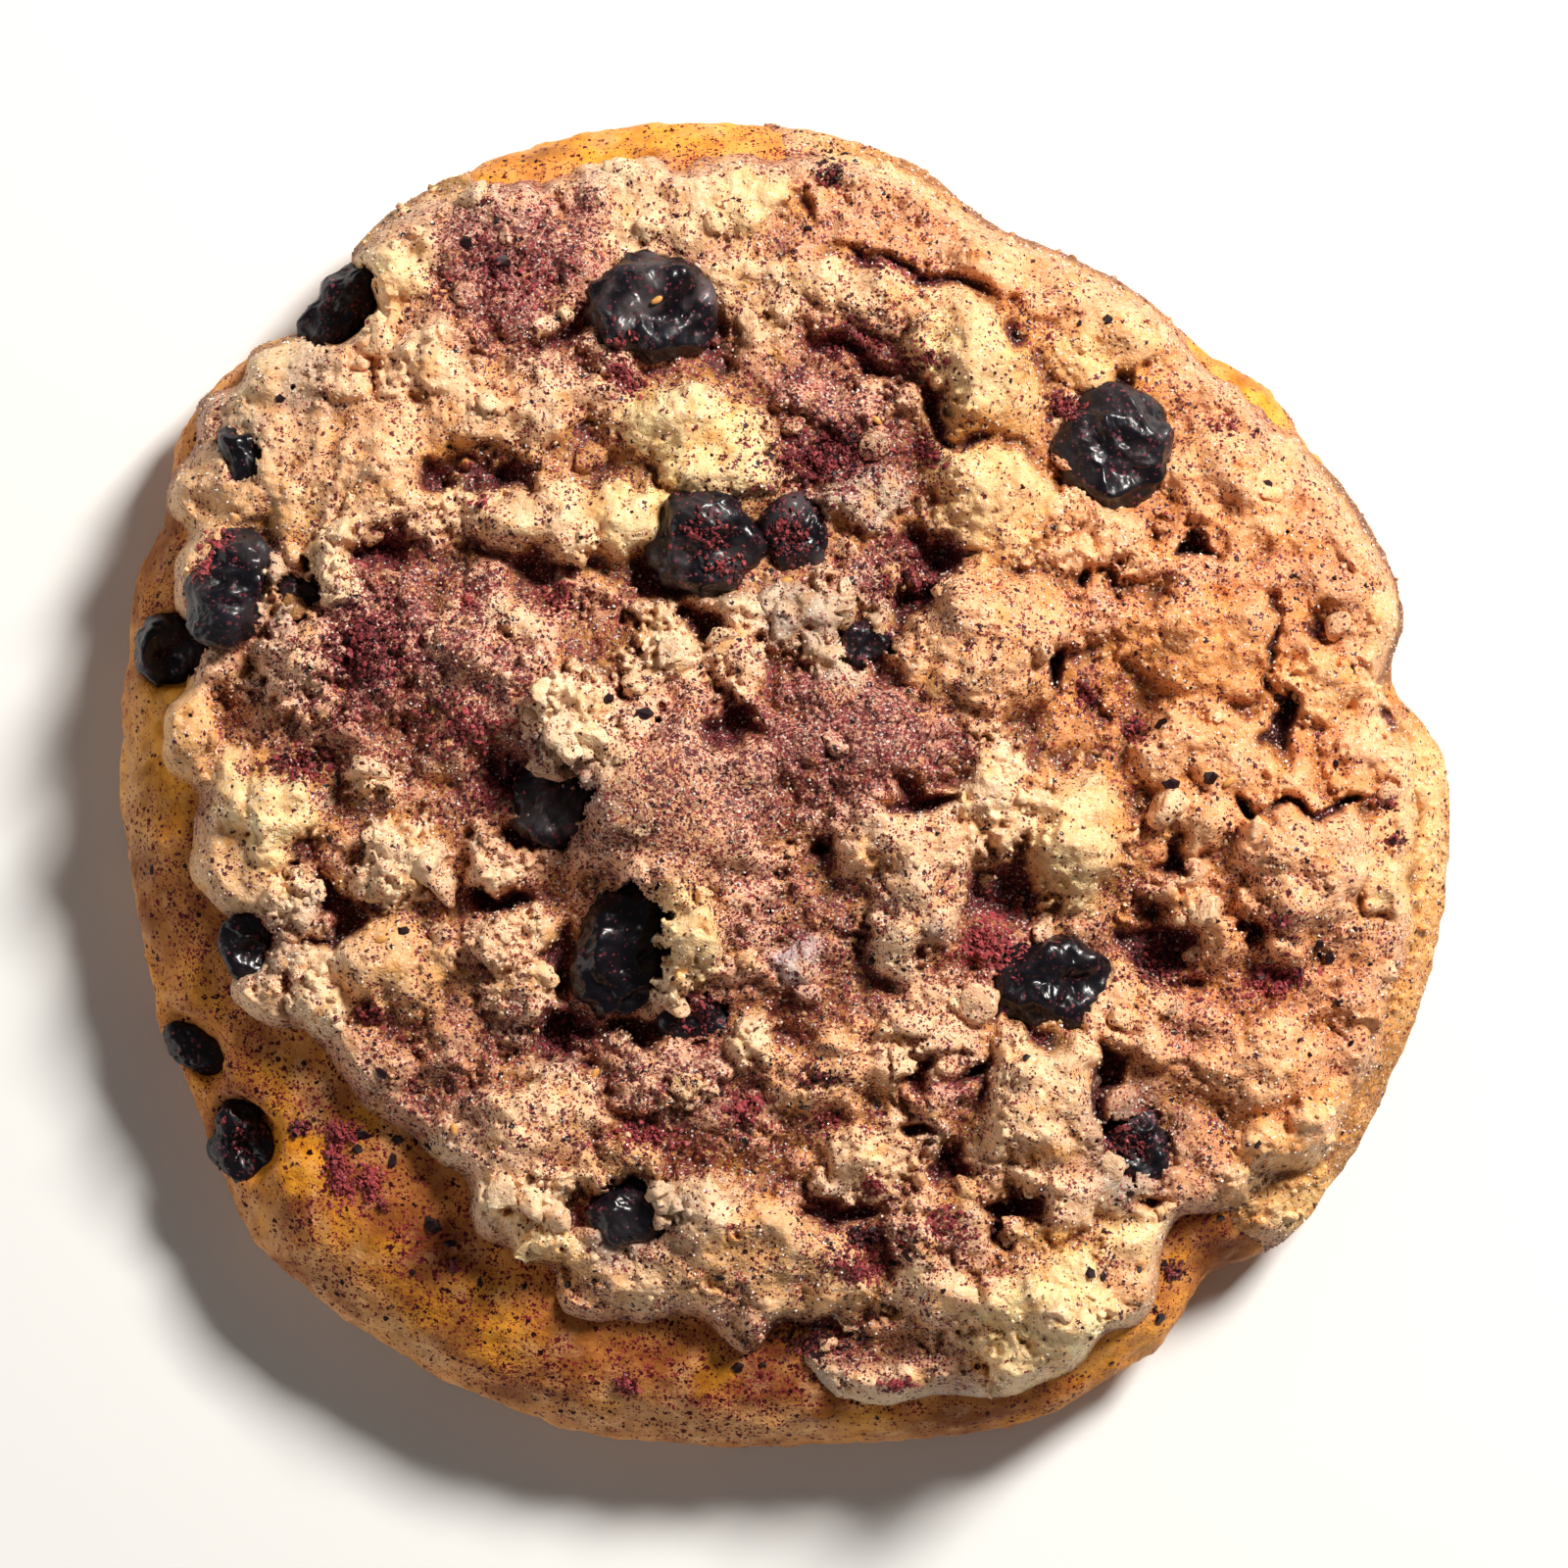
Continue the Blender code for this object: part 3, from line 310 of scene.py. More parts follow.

# Colours of the dough round: x, y, half length, half width, turn, strength.
# Browned crust; the row under the cap's ledge, at (0, -42.2), is a painted shadow.
BROWNING_AND_SHADE = (
    (-48.5, -3, 3, 9, 0, 1), (-48.5, 18, 2.4, 5, 0, 0.9), (-36.5, -29, 7, 10, 40, 1),
    (-28, -36, 8, 4, -35, 1), (-12, -44, 22, 5, 170, 0.7), (14, -48.6, 12, 2, 8, 0.8),
    (16, -48.4, 3, 1.2, 5, 1), (33, -36, 6, 6, 0, 1), (0, -42.2, 9, 1.8, -3, 1),
    (-10, 0, 38, 38, 0, 0.5),
)
GOLDEN = (
    (-38, -28.6, 3.4, 3, 0, 1), (-34, -34.5, 2.6, 2, 0, 0.5), (-47.2, 3.4, 3.4, 8.5, 0, 1),
    (-30, -40, 6, 2.6, 140, 0.5), (45, -18, 5, 12, -20, 1), (40, -29, 3.5, 3.5, 0, 0.9),
    (-15, 50, 14, 3, 0, 0.7), (36, 30, 3, 3.4, 0, 1), (26, -43.6, 5, 2, 25, 0.8),
    (-21, -42.4, 3, 2, 0, 0.6), (5, -49, 6, 1.4, 0, 0.8), (-5, -45.4, 2, 1.4, 0, 0.8),
)
# Paler crust; the row on the left flank, at (-50.6, -4), is painted light on the shaded side.
PALED_AND_LIT = (
    (-50.6, -4, 2.2, 13, 0, 0.9), (-34, -39.6, 12, 2.6, -45, 0.8), (-8, -48.9, 18, 2.2, -4, 0.8),
    (-27, -43.8, 4.6, 1.4, -25, 0.8), (-31.6, -36.2, 1.8, 1, 0, 0.7), (44, -27, 3, 4, -20, 0.6),
    (50, -2, 2, 14, 0, 0.8), (-8, -49.6, 16, 1.6, -5, 0.5), (-42.6, 30, 2, 3, 0, 0.5),
    (20, 46, 14, 3, -20, 0.8),
)

# Heaps of dried berry flakes: x, y, half length, half width, turn, number of chips, brightness.
HEAPS = (
    (-6, 19, 2, 1.8, 0, 130, 0.5), (-4.2, 16.6, 1.8, 1.4, 0, 90, 0.5),
    (-12, 33.4, 1.4, 1.2, 0, 60, 0.5), (0.4, 19, 2, 2, 0, 160, 0.4),
    (-6.4, -17, 1.6, 2, 0, 160, 0.3), (-17, -19, 2.6, 2.2, 0, 320, 0.3),
    (-31.6, 10.4, 4.4, 3.4, 70, 1000, 0.36), (-30.6, 18, 2.4, 1.6, 30, 260, 0.4),
    (3.6, 24.8, 4.8, 2.4, 10, 1100, 0.36), (11.2, 25.2, 1.6, 1.4, 0, 160, 0.4),
    (9.6, 15.8, 3, 2.6, 0, 420, 0.3), (5.5, 33.7, 3, 1.6, 0, 300, 0.5),
    (10, 32, 2.5, 1.2, 0, 160, 0.5), (8, 39.3, 4, 0.8, -15, 160, 0.4),
    (3.6, 47, 1.4, 1.8, 0, 160, 0.15), (20.8, 28.8, 1.2, 1.2, 0, 90, 0.4),
    (-22.2, 39.4, 1.8, 1.4, 0, 90, 0.3), (-20.4, 38.4, 4.4, 3, 0, 260, 0.65),
    (-12, 31, 1.8, 1.2, -40, 200, 0.6), (-16.8, 14.2, 1.2, 2.2, 0, 160, 0.7),
    (-24, 13.7, 0.9, 0.8, 0, 60, 0.8), (-22.8, 21.3, 0.9, 0.7, 0, 50, 0.5),
    (-22, -1, 2, 1.6, 0, 240, 0.5), (15.5, -12, 2.6, 2.2, 0, 520, 0.85),
    (28.8, -13.6, 2.8, 2, 0, 420, 0.3), (36.9, -14.8, 2.2, 1.4, 0, 340, 0.85),
    (37.4, -10.6, 1.4, 1, 0, 120, 0.6), (38.9, -14.6, 1, 0.8, 0, 70, 0.5),
    (-33.6, -26.6, 1.5, 1.1, 0, 220, 0.85), (-34, -29.5, 1, 2.6, 10, 380, 0.8),
    (-31.6, -30.4, 0.9, 1.5, 10, 200, 0.85), (-30.6, -32.2, 0.7, 0.5, 0, 40, 0.5),
    (-37, -26.2, 1, 0.7, 20, 70, 0.35), (-31.4, -17.4, 1.4, 1, 0, 150, 0.4),
    (2.8, -22.2, 1.6, 0.8, 0, 120, 0.1), (-3, -24.4, 1.6, 1.2, 0, 150, 0.7),
    (3.3, -25.2, 1.2, 0.8, 0, 90, 0.5), (6.3, -34.3, 2.2, 1, 0, 220, 0.15),
    (6, -36.6, 2.6, 1.4, 0, 320, 0.6), (7, -30.4, 0.9, 0.7, 0, 60, 0.6),
    (2.4, -42.4, 3, 1.4, 0, 260, 0.25), (-12, -46, 0.9, 1, 0, 110, 0.75),
    (8.6, -45.8, 1.3, 0.7, 10, 140, 0.85), (-42.6, 18.4, 1.6, 0.8, 0, 90, 0.7),
    (-44, 16.5, 1.2, 0.8, 60, 60, 0.7), (23, 6.8, 1.1, 1.1, 0, 120, 0.4),
    (26.8, 4, 1.2, 1.2, 0, 130, 0.5), (45.8, -1.3, 1, 0.8, 0, 70, 0.3),
    (46.8, -4.3, 1, 0.8, 0, 70, 0.3), (21.5, 28.5, 1.4, 1.2, 0, 140, 0.5),
    (33.4, 27.4, 1.4, 0.8, 0, 60, 0.6), (-36.4, 1.4, 2.4, 1.6, 0, 260, 0.5),
    (-24, 4, 4.4, 3, 0, 420, 0.6), (-10.6, -26.4, 3.4, 1.2, 0, 240, 0.7),
    (-41.4, -27, 2.6, 2.4, 0, 130, 0.1), (26, -27.4, 2, 1.6, 0, 200, 0.2),
    (30.1, -37.4, 1.2, 0.9, 0, 130, 0.15), (-25.2, -36.6, 0.5, 0.5, 0, 40, 0.3),
    (12.4, -33, 2.2, 1.6, 0, 140, 0.7),
)
# Larger dark chips: x, y, half size.
CHIPS = (
    (-13.1, 6.5, 0.7), (-10.4, 5.3, 0.7), (-21.2, 39.6, 0.8), (-24, 41.2, 0.5),
    (-21.8, 42.8, 0.4), (24.7, 35.3, 0.4), (22.5, 35, 0.3), (2, 42.3, 0.4), (6, 40.3, 0.4),
    (-31, 37.8, 0.4), (-38.2, 29.3, 0.4), (36.9, 22.8, 0.4), (41.9, 15.7, 0.3), (38.7, 15.9, 0.3),
    (28.6, 4.7, 0.5), (37.8, 6.6, 0.7), (43.3, 8.8, 0.4), (42, 1.6, 0.3), (-30.4, -21.9, 0.5),
    (-36.5, -21.3, 0.3), (-34.4, -4.2, 0.4), (-28.6, -11, 0.6), (-30, -9.6, 0.4),
    (-48.5, -6.6, 0.4), (6.7, -13.3, 0.6), (18.3, -20.5, 0.5), (1.5, -24.4, 0.4),
    (32.4, 0.4, 0.7), (29.3, 0, 0.6), (28.5, -1.1, 0.4), (29.6, -4.1, 0.4), (42.1, -16.6, 0.4),
    (41.6, -13.2, 0.4), (40.8, -12.1, 0.4), (43.3, -11, 0.3), (40, -20.5, 0.4),
    (43.2, -19.7, 0.3), (39.2, -19.4, 0.3), (-32, -26.7, 0.5), (-32.4, -27.8, 0.4),
    (-29.4, -27.1, 0.5), (-29.8, -28.7, 0.6), (-27, -27.6, 0.4), (-26.8, -33.6, 0.6),
    (-28.3, -37.3, 0.3), (-25.4, -35, 0.4), (-29.9, -40, 0.2), (-23.1, -38, 0.4),
    (-16.4, -38.1, 0.4), (-19.7, -38.3, 0.3), (-4.7, -37.4, 0.4), (-3.4, -44.6, 0.4),
    (-1.5, -44.3, 0.3), (-2.8, -27, 0.4), (9.4, -35.7, 0.6), (8.3, -36.2, 0.5), (5.3, -34.2, 0.5),
    (27, -36.8, 0.4), (23.3, -36.9, 0.4), (24.3, -37.3, 0.5), (26.3, -31, 0.4),
    (18.1, -42.3, 0.2), (12.2, -38.3, 0.2), (19.6, -31.1, 0.5), (36, -27.4, 0.4),
    (33.5, -33.2, 0.4), (29, -41, 0.5), (28.6, -40.2, 0.3), (25.3, -44.5, 0.3),
)
SEEDS = (
    (-9.5, 36.6, 30), (-14.2, -21.9, 60), (-24.9, -26.1, 100), (-30.3, -11.7, 20),
    (7.1, 27.6, 140), (0.3, 15.4, 10), (-8.9, 22.5, 80), (33.7, 0.2, 45),
)
# How each berry sits: growth, depth of its dent, powder, grey bloom, torn pale skin, how low.
BERRY_LOOKS = (
    (1.08, 1.3, 0.35, 0.8, 0.5, 1.7), (1.08, 1.2, 0.4, 0.5, 0.2, 1.7),
    (1.1, 0.6, 0.8, 0.6, 0.3, 1.7), (1.1, 1.1, 0.3, 0.8, 0.1, 1.7), (1.06, 1.6, 0.1, 0.3, 0, 1.7),
    (1.06, 1.2, 0.2, 0.4, 0.1, 1.7), (1.12, 1.2, 0.3, 0.9, 0.2, 1.9),
    (1.1, 1.2, 0.2, 0.9, 0.2, 2), (1.1, 1, 0.3, 0.8, 0.1, 2.2), (1, 0.8, 0.5, 0.2, 0, 2.4),
    (1, 0.8, 0.2, 0.2, 0, 1.7), (1, 0.8, 0.3, 0.2, 0, 2.7), (1.06, 0.9, 0.4, 0.2, 0, 2.7),
    (1.06, 0.9, 0.2, 0.2, 0, 1.7), (1.1, 0.8, 0.7, 1, 0.3, 1.7), (1.06, 1.2, 0.2, 0.5, 0.1, 1.7),
    (1.1, 0.8, 0.9, 0.5, 0, 1.7), (1.06, 0.8, 0.9, 0.3, 0, 1.7), (1.1, 0.9, 0.4, 0.4, 0, 1.7),
)


def tone(label, description, colour):
    """A colour that a user may change."""
    return FloatVectorProperty(
        name=label,
        description=description,
        default=colour,
        subtype="COLOR",
        min=0.0,
        max=1.0,
    )


def face_size(label, description, size, least):
    """A length that a user may change."""
    return FloatProperty(
        name=label, description=description, default=size, min=least, unit="LENGTH"
    )


def amount(label, description, start):
    """A whole number that a user may change."""
    return IntProperty(name=label, description=description, default=start, min=0)


class CookieLooks(bpy.types.PropertyGroup):
    """Sizes and colours of the dressed cookie."""

    crumb_mesh: face_size("Crumb mesh", "Length of a face of the crumb cap", 0.16 * MM, 0.12 * MM)
    dough_mesh: face_size("Dough mesh", "Length of a face of the dough", 0.55 * MM, 0.3 * MM)
    cream: tone("Cream", "Smooth pale crumb", (0.94, 0.58, 0.32))
    butter: tone("Butter", "Crumb that stayed yellow", (1.0, 0.69, 0.32))
    pale: tone("Pale crumb", "Loose pale crumb", (0.96, 0.66, 0.41))
    blush: tone("Blush", "Crumb with a little powder", (0.92, 0.53, 0.31))
    pink: tone("Pink", "Crumb rubbed with powder", (0.88, 0.47, 0.30))
    mauve: tone("Mauve", "Crumb covered in powder", (0.70, 0.31, 0.22))
    grey: tone("Grey", "Crumb wet with juice", (0.56, 0.43, 0.32))
    amber: tone("Amber", "Crumb soaked with butter", (0.80, 0.36, 0.06))
    tan: tone("Tan", "Smooth browned crumb", (0.78, 0.42, 0.17))
    lilac: tone("Lilac", "Crumb under a berry skin", (0.56, 0.46, 0.50))
    # Its darkness is partly painted shade low between the lumps, partly the powder that gathers
    # there.
    floor: tone("Between lumps", "Crumb low between the lumps", (0.62, 0.29, 0.15))
    # Painted shade: the dark colour that the cap's deepest hollows are mixed towards.
    crevice_shade: tone("Crevice", "Deepest crumb", (0.035, 0.008, 0.004))
    crust: tone("Crust", "Light crust of the dough", (0.84, 0.37, 0.11))
    brown: tone("Browned crust", "Darkest crust of the dough", (0.26, 0.075, 0.012))
    golden: tone("Golden crust", "Glazed golden crust", (0.93, 0.41, 0.035))
    powder: tone("Berry powder", "Fine dried berry powder", (0.10, 0.013, 0.017))
    berry: tone("Berry skin", "Skin of a baked berry", (0.005, 0.0035, 0.006))
    fine_crumbs: amount("Fine crumbs", "Number of fine loose crumbs on the cap", 3600)
    coarse_crumbs: amount("Coarse crumbs", "Number of larger loose crumbs on the cap", 440)
    specks: amount("Specks", "Number of small dark flakes over the cookie", 15000)
    sugar_grains: amount("Sugar grains", "Number of clear sugar grains over the cookie", 7000)
    seed: amount("Seed", "Changes where the loose bits lie", 7)


def looks():
    """The cookie's sizes and colours."""
    return bpy.context.scene.cookie_looks


def cookie_collection():
    """The collection that holds the cookie's pieces."""
    found = bpy.data.collections.get("streusel_cookie")
    if found is None:
        found = bpy.data.collections.new("streusel_cookie")
        bpy.context.scene.collection.children.link(found)
    return found


def add_piece(name, mesh):
    """Links a mesh as a new piece of the cookie."""
    piece = bpy.data.objects.new(name, mesh)
    cookie_collection().objects.link(piece)
    return piece


def node_copy(node, name):
    """A piece that starts as a merged copy of a solid of the frame."""
    build = bmesh.new()
    build.from_mesh(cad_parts[node].data)
    bmesh.ops.remove_doubles(build, verts=build.verts, dist=0.001 * MM)
    mesh = bpy.data.meshes.new(name)
    build.to_mesh(mesh)
    build.free()
    return add_piece(name, mesh)


def settle_modifiers(piece):
    """Makes the piece's modifiers part of its mesh."""
    graph = bpy.context.evaluated_depsgraph_get()
    settled = bpy.data.meshes.new_from_object(piece.evaluated_get(graph))
    settled.name = piece.name
    before = piece.data
    piece.modifiers.clear()
    piece.data = settled
    bpy.data.meshes.remove(before)


def add_rounding(piece, levels):
    """Rounds the facets of a piece."""
    rounding = piece.modifiers.new("rounding", "SUBSURF")
    rounding.levels = levels
    rounding.render_levels = levels


def points_of(mesh):
    """The mesh's vertices in millimetres."""
    points = np.empty(len(mesh.vertices) * 3, np.float32)
    mesh.vertices.foreach_get("co", points)
    return points.reshape(-1, 3) / MM


def normals_of(mesh):
    """The mesh's vertex normals."""
    normals = np.empty(len(mesh.vertices) * 3, np.float32)
    mesh.vertex_normals.foreach_get("vector", normals)
    return normals.reshape(-1, 3)


def move_points(mesh, points):
    """Gives the mesh's vertices new places in millimetres, inside the frame's box."""
    low = np.array(CAD_BOX[0]) / MM
    high = np.array(CAD_BOX[1]) / MM
    held = np.clip(points, low, high) * MM
    mesh.vertices.foreach_set("co", held.astype(np.float32).ravel())
    mesh.update()


def waves(points, size, seed, octaves=2):
    """Soft noise from about -1 to 1 whose waves have the given size."""
    start = Vector((seed * 13.7, seed * 7.3, seed * 3.1))
    return np.array(
        [noise.fractal(Vector(p) + start, 1.0, 2.0, octaves) for p in points / size]
    )


def cobbles(points, size, seed):
    """Uneven crumbs of the given size: each with its own height up to 1, and cracks between."""
    start = Vector((seed * 11.3, seed * 5.9, seed * 2.3))
    heights = np.empty(len(points))
    for index, place in enumerate(points / size):
        far, near = noise.voronoi(Vector(place) + start)
        own = 0.5 + 0.5 * noise.cell(near[0] * 5.3)
        heights[index] = (0.35 + 0.65 * own) * min(1.0, 2.6 * (far[1] - far[0]))
    return heights


def turned_reach(across, up, row):
    """How far out each point lies in a turned oval, from 0 in its middle to 1 on its edge."""
    x, y, length, width, turn = row[:5]
    cos, sin = math.cos(math.radians(turn)), math.sin(math.radians(turn))
    along = ((across - x) * cos + (up - y) * sin) / length
    over = ((up - y) * cos - (across - x) * sin) / width
    return np.hypot(along, over)


def patched(points, patches, wander=1.2, seed=1):
    """How strongly each point lies in one of the patches, with uneven edges."""
    across = points[:, 0] + waves(points, 3.4, seed) * wander
    up = points[:, 1] + waves(points, 3.4, seed + 1) * wander
    strength = np.zeros(len(points))
    for row in patches:
        reach = turned_reach(across, up, row)
        strength = np.maximum(strength, row[5] * np.exp(-(reach**3.2)))
    return strength


def mixed(first, second, share):
    """Colours between two colours, by each point's share of the second."""
    share = np.clip(share, 0.0, 1.0)[:, None]
    return np.asarray(first) * (1 - share) + np.asarray(second) * share


def keep_colour(mesh, name, colours):
    """Stores three values for each vertex as a colour attribute of the mesh."""
    tones = np.ones((len(mesh.vertices), 4), np.float32)
    tones[:, :3] = np.clip(colours, 0.0, 1.0)
    layer = mesh.attributes.new(name, "FLOAT_COLOR", "POINT")
    layer.data.foreach_set("color", tones.ravel())


def surface_tree(*pieces):
    """A search tree over the pieces' meshes, in millimetres."""
    points, faces = [], []
    for piece in pieces:
        base = len(points)
        points.extend(Vector(p) for p in points_of(piece.data).tolist())
        faces.extend(
            [base + corner for corner in face.vertices] for face in piece.data.polygons
        )
    return BVHTree.FromPolygons(points, faces)


# ---------------------------------------------------------------- the cap as a field of heights


def raster(cell):
    """Even rows and columns of points over the cookie."""
    half = math.ceil(HALF_RASTER / cell)
    line = np.arange(-half, half + 1) * cell
    return np.meshgrid(line, line)


def flat_points(across, up):
    """The raster as a list of points at height nought."""
    return np.stack([across.ravel(), up.ravel(), np.zeros(across.size)], axis=1)


def read_at(field, across, up, cell):
    """The raster's values at any places, blended between its points."""
    half = field.shape[0] // 2
    column = np.clip(across / cell + half, 0, field.shape[1] - 1.001)
    row = np.clip(up / cell + half, 0, field.shape[0] - 1.001)
    left, low = column.astype(int), row.astype(int)
    right_share, high_share = column - left, row - low
    if field.ndim == 3:
        right_share, high_share = right_share[..., None], high_share[..., None]
    under = field[low, left] * (1 - right_share) + field[low, left + 1] * right_share
    over = field[low + 1, left] * (1 - right_share) + field[low + 1, left + 1] * right_share
    return under * (1 - high_share) + over * high_share


def tops(nodes, across, up):
    """Height of the solids' top at each place, and whether a solid is there."""
    tree = surface_tree(*(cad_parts[node] for node in nodes))
    cast_across, cast_up = raster(RAY_CELL)
    heights = np.zeros(cast_across.size)
    known = np.zeros(cast_across.size)
    for index, (x, y) in enumerate(zip(cast_across.ravel(), cast_up.ravel())):
        hit = tree.ray_cast(Vector((x, y, ABOVE)), -UP)[0]
        if hit is not None:
            heights[index] = hit.z
            known[index] = 1.0
    heights, known = heights.reshape(cast_across.shape), known.reshape(cast_across.shape)
    share = read_at(known, across, up, RAY_CELL)
    return read_at(heights, across, up, RAY_CELL) / np.maximum(share, 1e-3), share > 0.5


def spectrum(field, cell):
    """The field's waves and how often each of them comes in a millimetre."""
    down = np.fft.fftfreq(field.shape[0], cell)[:, None]
    right = np.fft.fftfreq(field.shape[1], cell)[None, :]
    return np.fft.fft2(field), np.hypot(down, right)


def blurred(field, width, cell):
    """The field blurred over the given width."""
    waves_in_it, often = spectrum(field, cell)
    return np.fft.ifft2(waves_in_it * np.exp(-2 * (math.pi * width * often) ** 2)).real


def blurred_where(field, known, width, cell):
    """The field blurred over the known places alone, and carried on past them."""
    weight = blurred(known.astype(float), width, cell)
    total = blurred(np.where(known, field, 0.0), width, cell)
    wide = blurred(np.where(known, field, 0.0), 4 * width, cell)
    wide_weight = blurred(known.astype(float), 4 * width, cell)
    near = np.clip(weight * 20, 0, 1)
    far = wide / np.maximum(wide_weight, 1e-3)
    return near * total / np.maximum(weight, 1e-3) + (1 - near) * far


def cloud(shape, cell, large, small, fall, seed):
    """Uneven relief with waves from large down to small, a mean of 0 and a spread of 1."""
    random = np.random.default_rng(seed)
    found, often = spectrum(random.normal(size=shape), cell)
    often = np.maximum(often, 1e-4)
    share = often**-fall * np.exp(-((often * small) ** 2))
    share = share * (1 - np.exp(-((often * large) ** 4)))
    field = np.fft.ifft2(found * share).real
    return (field - field.mean()) / field.std()


def chunks(across, up, size, seed):
    """Broken chunks of the given size: each with its own height, and creases between them."""
    random = np.random.default_rng(seed)
    count = 512
    own = random.uniform(size=(count, count, 3))
    column, row = np.floor(across / size).astype(int), np.floor(up / size).astype(int)
    near = np.full(across.shape, 9.0)
    later = np.full(across.shape, 9.0)
    tall = np.zeros(across.shape)
    for right in (-1, 0, 1):
        for over in (-1, 0, 1):
            mine = own[(row + over) % count, (column + right) % count]
            aside = across / size - (column + right + mine[..., 0])
            along = up / size - (row + over + mine[..., 1])
            far = np.hypot(aside, along)
            closer = far < near
            later = np.where(closer, near, np.minimum(later, far))
            tall = np.where(closer, mine[..., 2], tall)
            near = np.minimum(near, far)
    crease = (1 - np.clip((later - near) / 0.35, 0, 1)) ** 2
    return size * (tall - 0.5), size * crease


def joined(first, second, blend):
    """The higher of two heights, with a soft join where they are close."""
    close = np.clip(blend - np.abs(first - second), 0, None) / blend
    rising = np.clip(second / 0.5, 0, 1)
    return np.maximum(first, second) + close**2 * rising * blend / 4


@lru_cache(maxsize=1)
def cap_fields(cell):
    """Heights, colours and marks of the crumb cap over the raster."""
    look = looks()
    across, up = raster(cell)
    shape = across.shape
    flat = flat_points(across, up)

    def relief(large, small, fall, seed):
        return cloud(shape, cell, large, small, fall, seed)

    cap, on_cap = tops(["streusel"], across, up)
    dough, on_dough = tops(["dough"], across, up)
    berry, on_berry = tops(BERRIES, across, up)
    dough = blurred_where(dough, on_dough, 0.5, cell)

    # Uneven shifts that make every outline ragged.
    large_x, large_y = 0.5 * relief(9, 2, 1.6, 51), 0.5 * relief(9, 2, 1.6, 52)
    small_x, small_y = relief(2.4, 0.25, 1.4, 53), relief(2.4, 0.25, 1.4, 54)
    calm_x, calm_y = across + large_x + 0.08 * small_x, up + large_y + 0.08 * small_y
    wild_x, wild_y = across + large_x + 0.34 * small_x, up + large_y + 0.34 * small_y
    steep = np.clip(0.5 + 0.5 * relief(9, 2.5, 1.5, 57), 0, 1)

    # The broad shape of the cap, and the lumps that stand on it and run into each other.
    broad = blurred_where(cap, on_cap & ~on_berry, 3.2, cell)
    stand = np.zeros(shape)
    rough = np.full(shape, 0.5)
    powder = np.full(shape, POWDER["floor"])
    # Where no lump stands, the crumb starts from the darker floor tone, which is painted shade
    # between the lumps.
    colour = np.tile(mix_of("floor"), (*shape, 1))
    half = shape[0] // 2
    for row in LUMPS:
        x, y, length, width, _, rise, name, crumbly = row
        far = FOOT * LUMP_GROWTH * max(length, width) + 2.5
        spot = np.s_[
            max(0, int((y - far) / cell) + half) : int((y + far) / cell) + half,
            max(0, int((x - far) / cell) + half) : int((x + far) / cell) + half,
        ]
        use_x = calm_x[spot] + crumbly * (wild_x - calm_x)[spot]
        use_y = calm_y[spot] + crumbly * (wild_y - calm_y)[spot]
        reach = turned_reach(use_x, use_y, row) / LUMP_GROWTH
        hard = np.sqrt(np.clip(1 - reach**4, 0, 1))
        soft = np.clip(1 - (reach / FOOT) ** 2, 0, 1) ** 2
        edge = np.clip(0.75 * steep[spot] + 0.3 * crumbly, 0, 1)
        height = (LUMP_RISE * rise - 0.25) * (soft + (hard - soft) * edge)
        before = stand[spot]
        share = np.clip(0.5 + (height - before) / 1.0, 0, 1) * np.clip(height / 0.3, 0, 1)
        stand[spot] = joined(before, height, LUMP_BLEND)
        rough[spot] += (crumbly - rough[spot]) * share
        powder[spot] += (POWDER[name] - powder[spot]) * share
        colour[spot] += (mix_of(name) - colour[spot]) * share[..., None]
    sunk = np.zeros(shape)
    for row in HOLLOWS:
        reach = turned_reach(calm_x, calm_y, row)
        sunk = np.maximum(sunk, row[5] * np.exp(-(reach**3.0)))

    # Torn relief: grains on grains where the crumb is loose or broken off, and soft swells.
    rough = np.clip(blurred(rough, 0.5, cell) - 0.1 + 0.14 * relief(6, 1.5, 1.4, 60), 0, 1)
    swell = 0.36 * relief(9, 1.2, 2.0, 64)
    height = broad - 1.6 + stand - 1.5 * sunk + swell
    rise_up, rise_across = np.gradient(blurred(height, 0.35, cell), cell)
    broken = np.clip(np.hypot(rise_up, rise_across) - 0.75, 0, 0.8)
    torn = np.clip(2.0 * rough - 1.15 + 0.35 * blurred(broken, 0.3, cell), 0, 1)
    block_x, block_y = wild_x + 0.3 * small_y, wild_y - 0.3 * small_x
    blocks, creases = chunks(block_x, block_y, 4.6, 61)
    parted = np.clip(0.3 + 0.7 * relief(9, 2, 1.5, 58), 0, 1) * np.clip(1.4 * rough + 0.3, 0, 1)
    height += 0.14 * blocks * parted - 0.24 * creases * parted
    blocks, creases = chunks(block_x, block_y, 2.1, 62)
    height += (0.2 * blocks - 0.24 * creases) * torn
    blocks, creases = chunks(across + 0.12 * small_x, up + 0.12 * small_y, 0.95, 63)
    height += (0.22 * blocks - 0.24 * creases) * torn**1.5
    height += 0.2 * relief(2.2, 0.2, 1.35, 59) * (0.1 + 0.9 * torn) + 0.05 * small_x

    # Shelves and little cliffs, as crumb breaks.
    base = blurred(height, 2.6, cell)
    level = (height - base) / SHELF + 0.7 * relief(9, 3, 1.5, 65)
    part = level - np.floor(level)
    cliff = np.clip((part - 0.5) * 2.4 + 0.5, 0, 1)
    height += SHELF * (cliff - part) * (0.18 + 0.2 * torn)
    height = blurred(height, 0.09, cell)

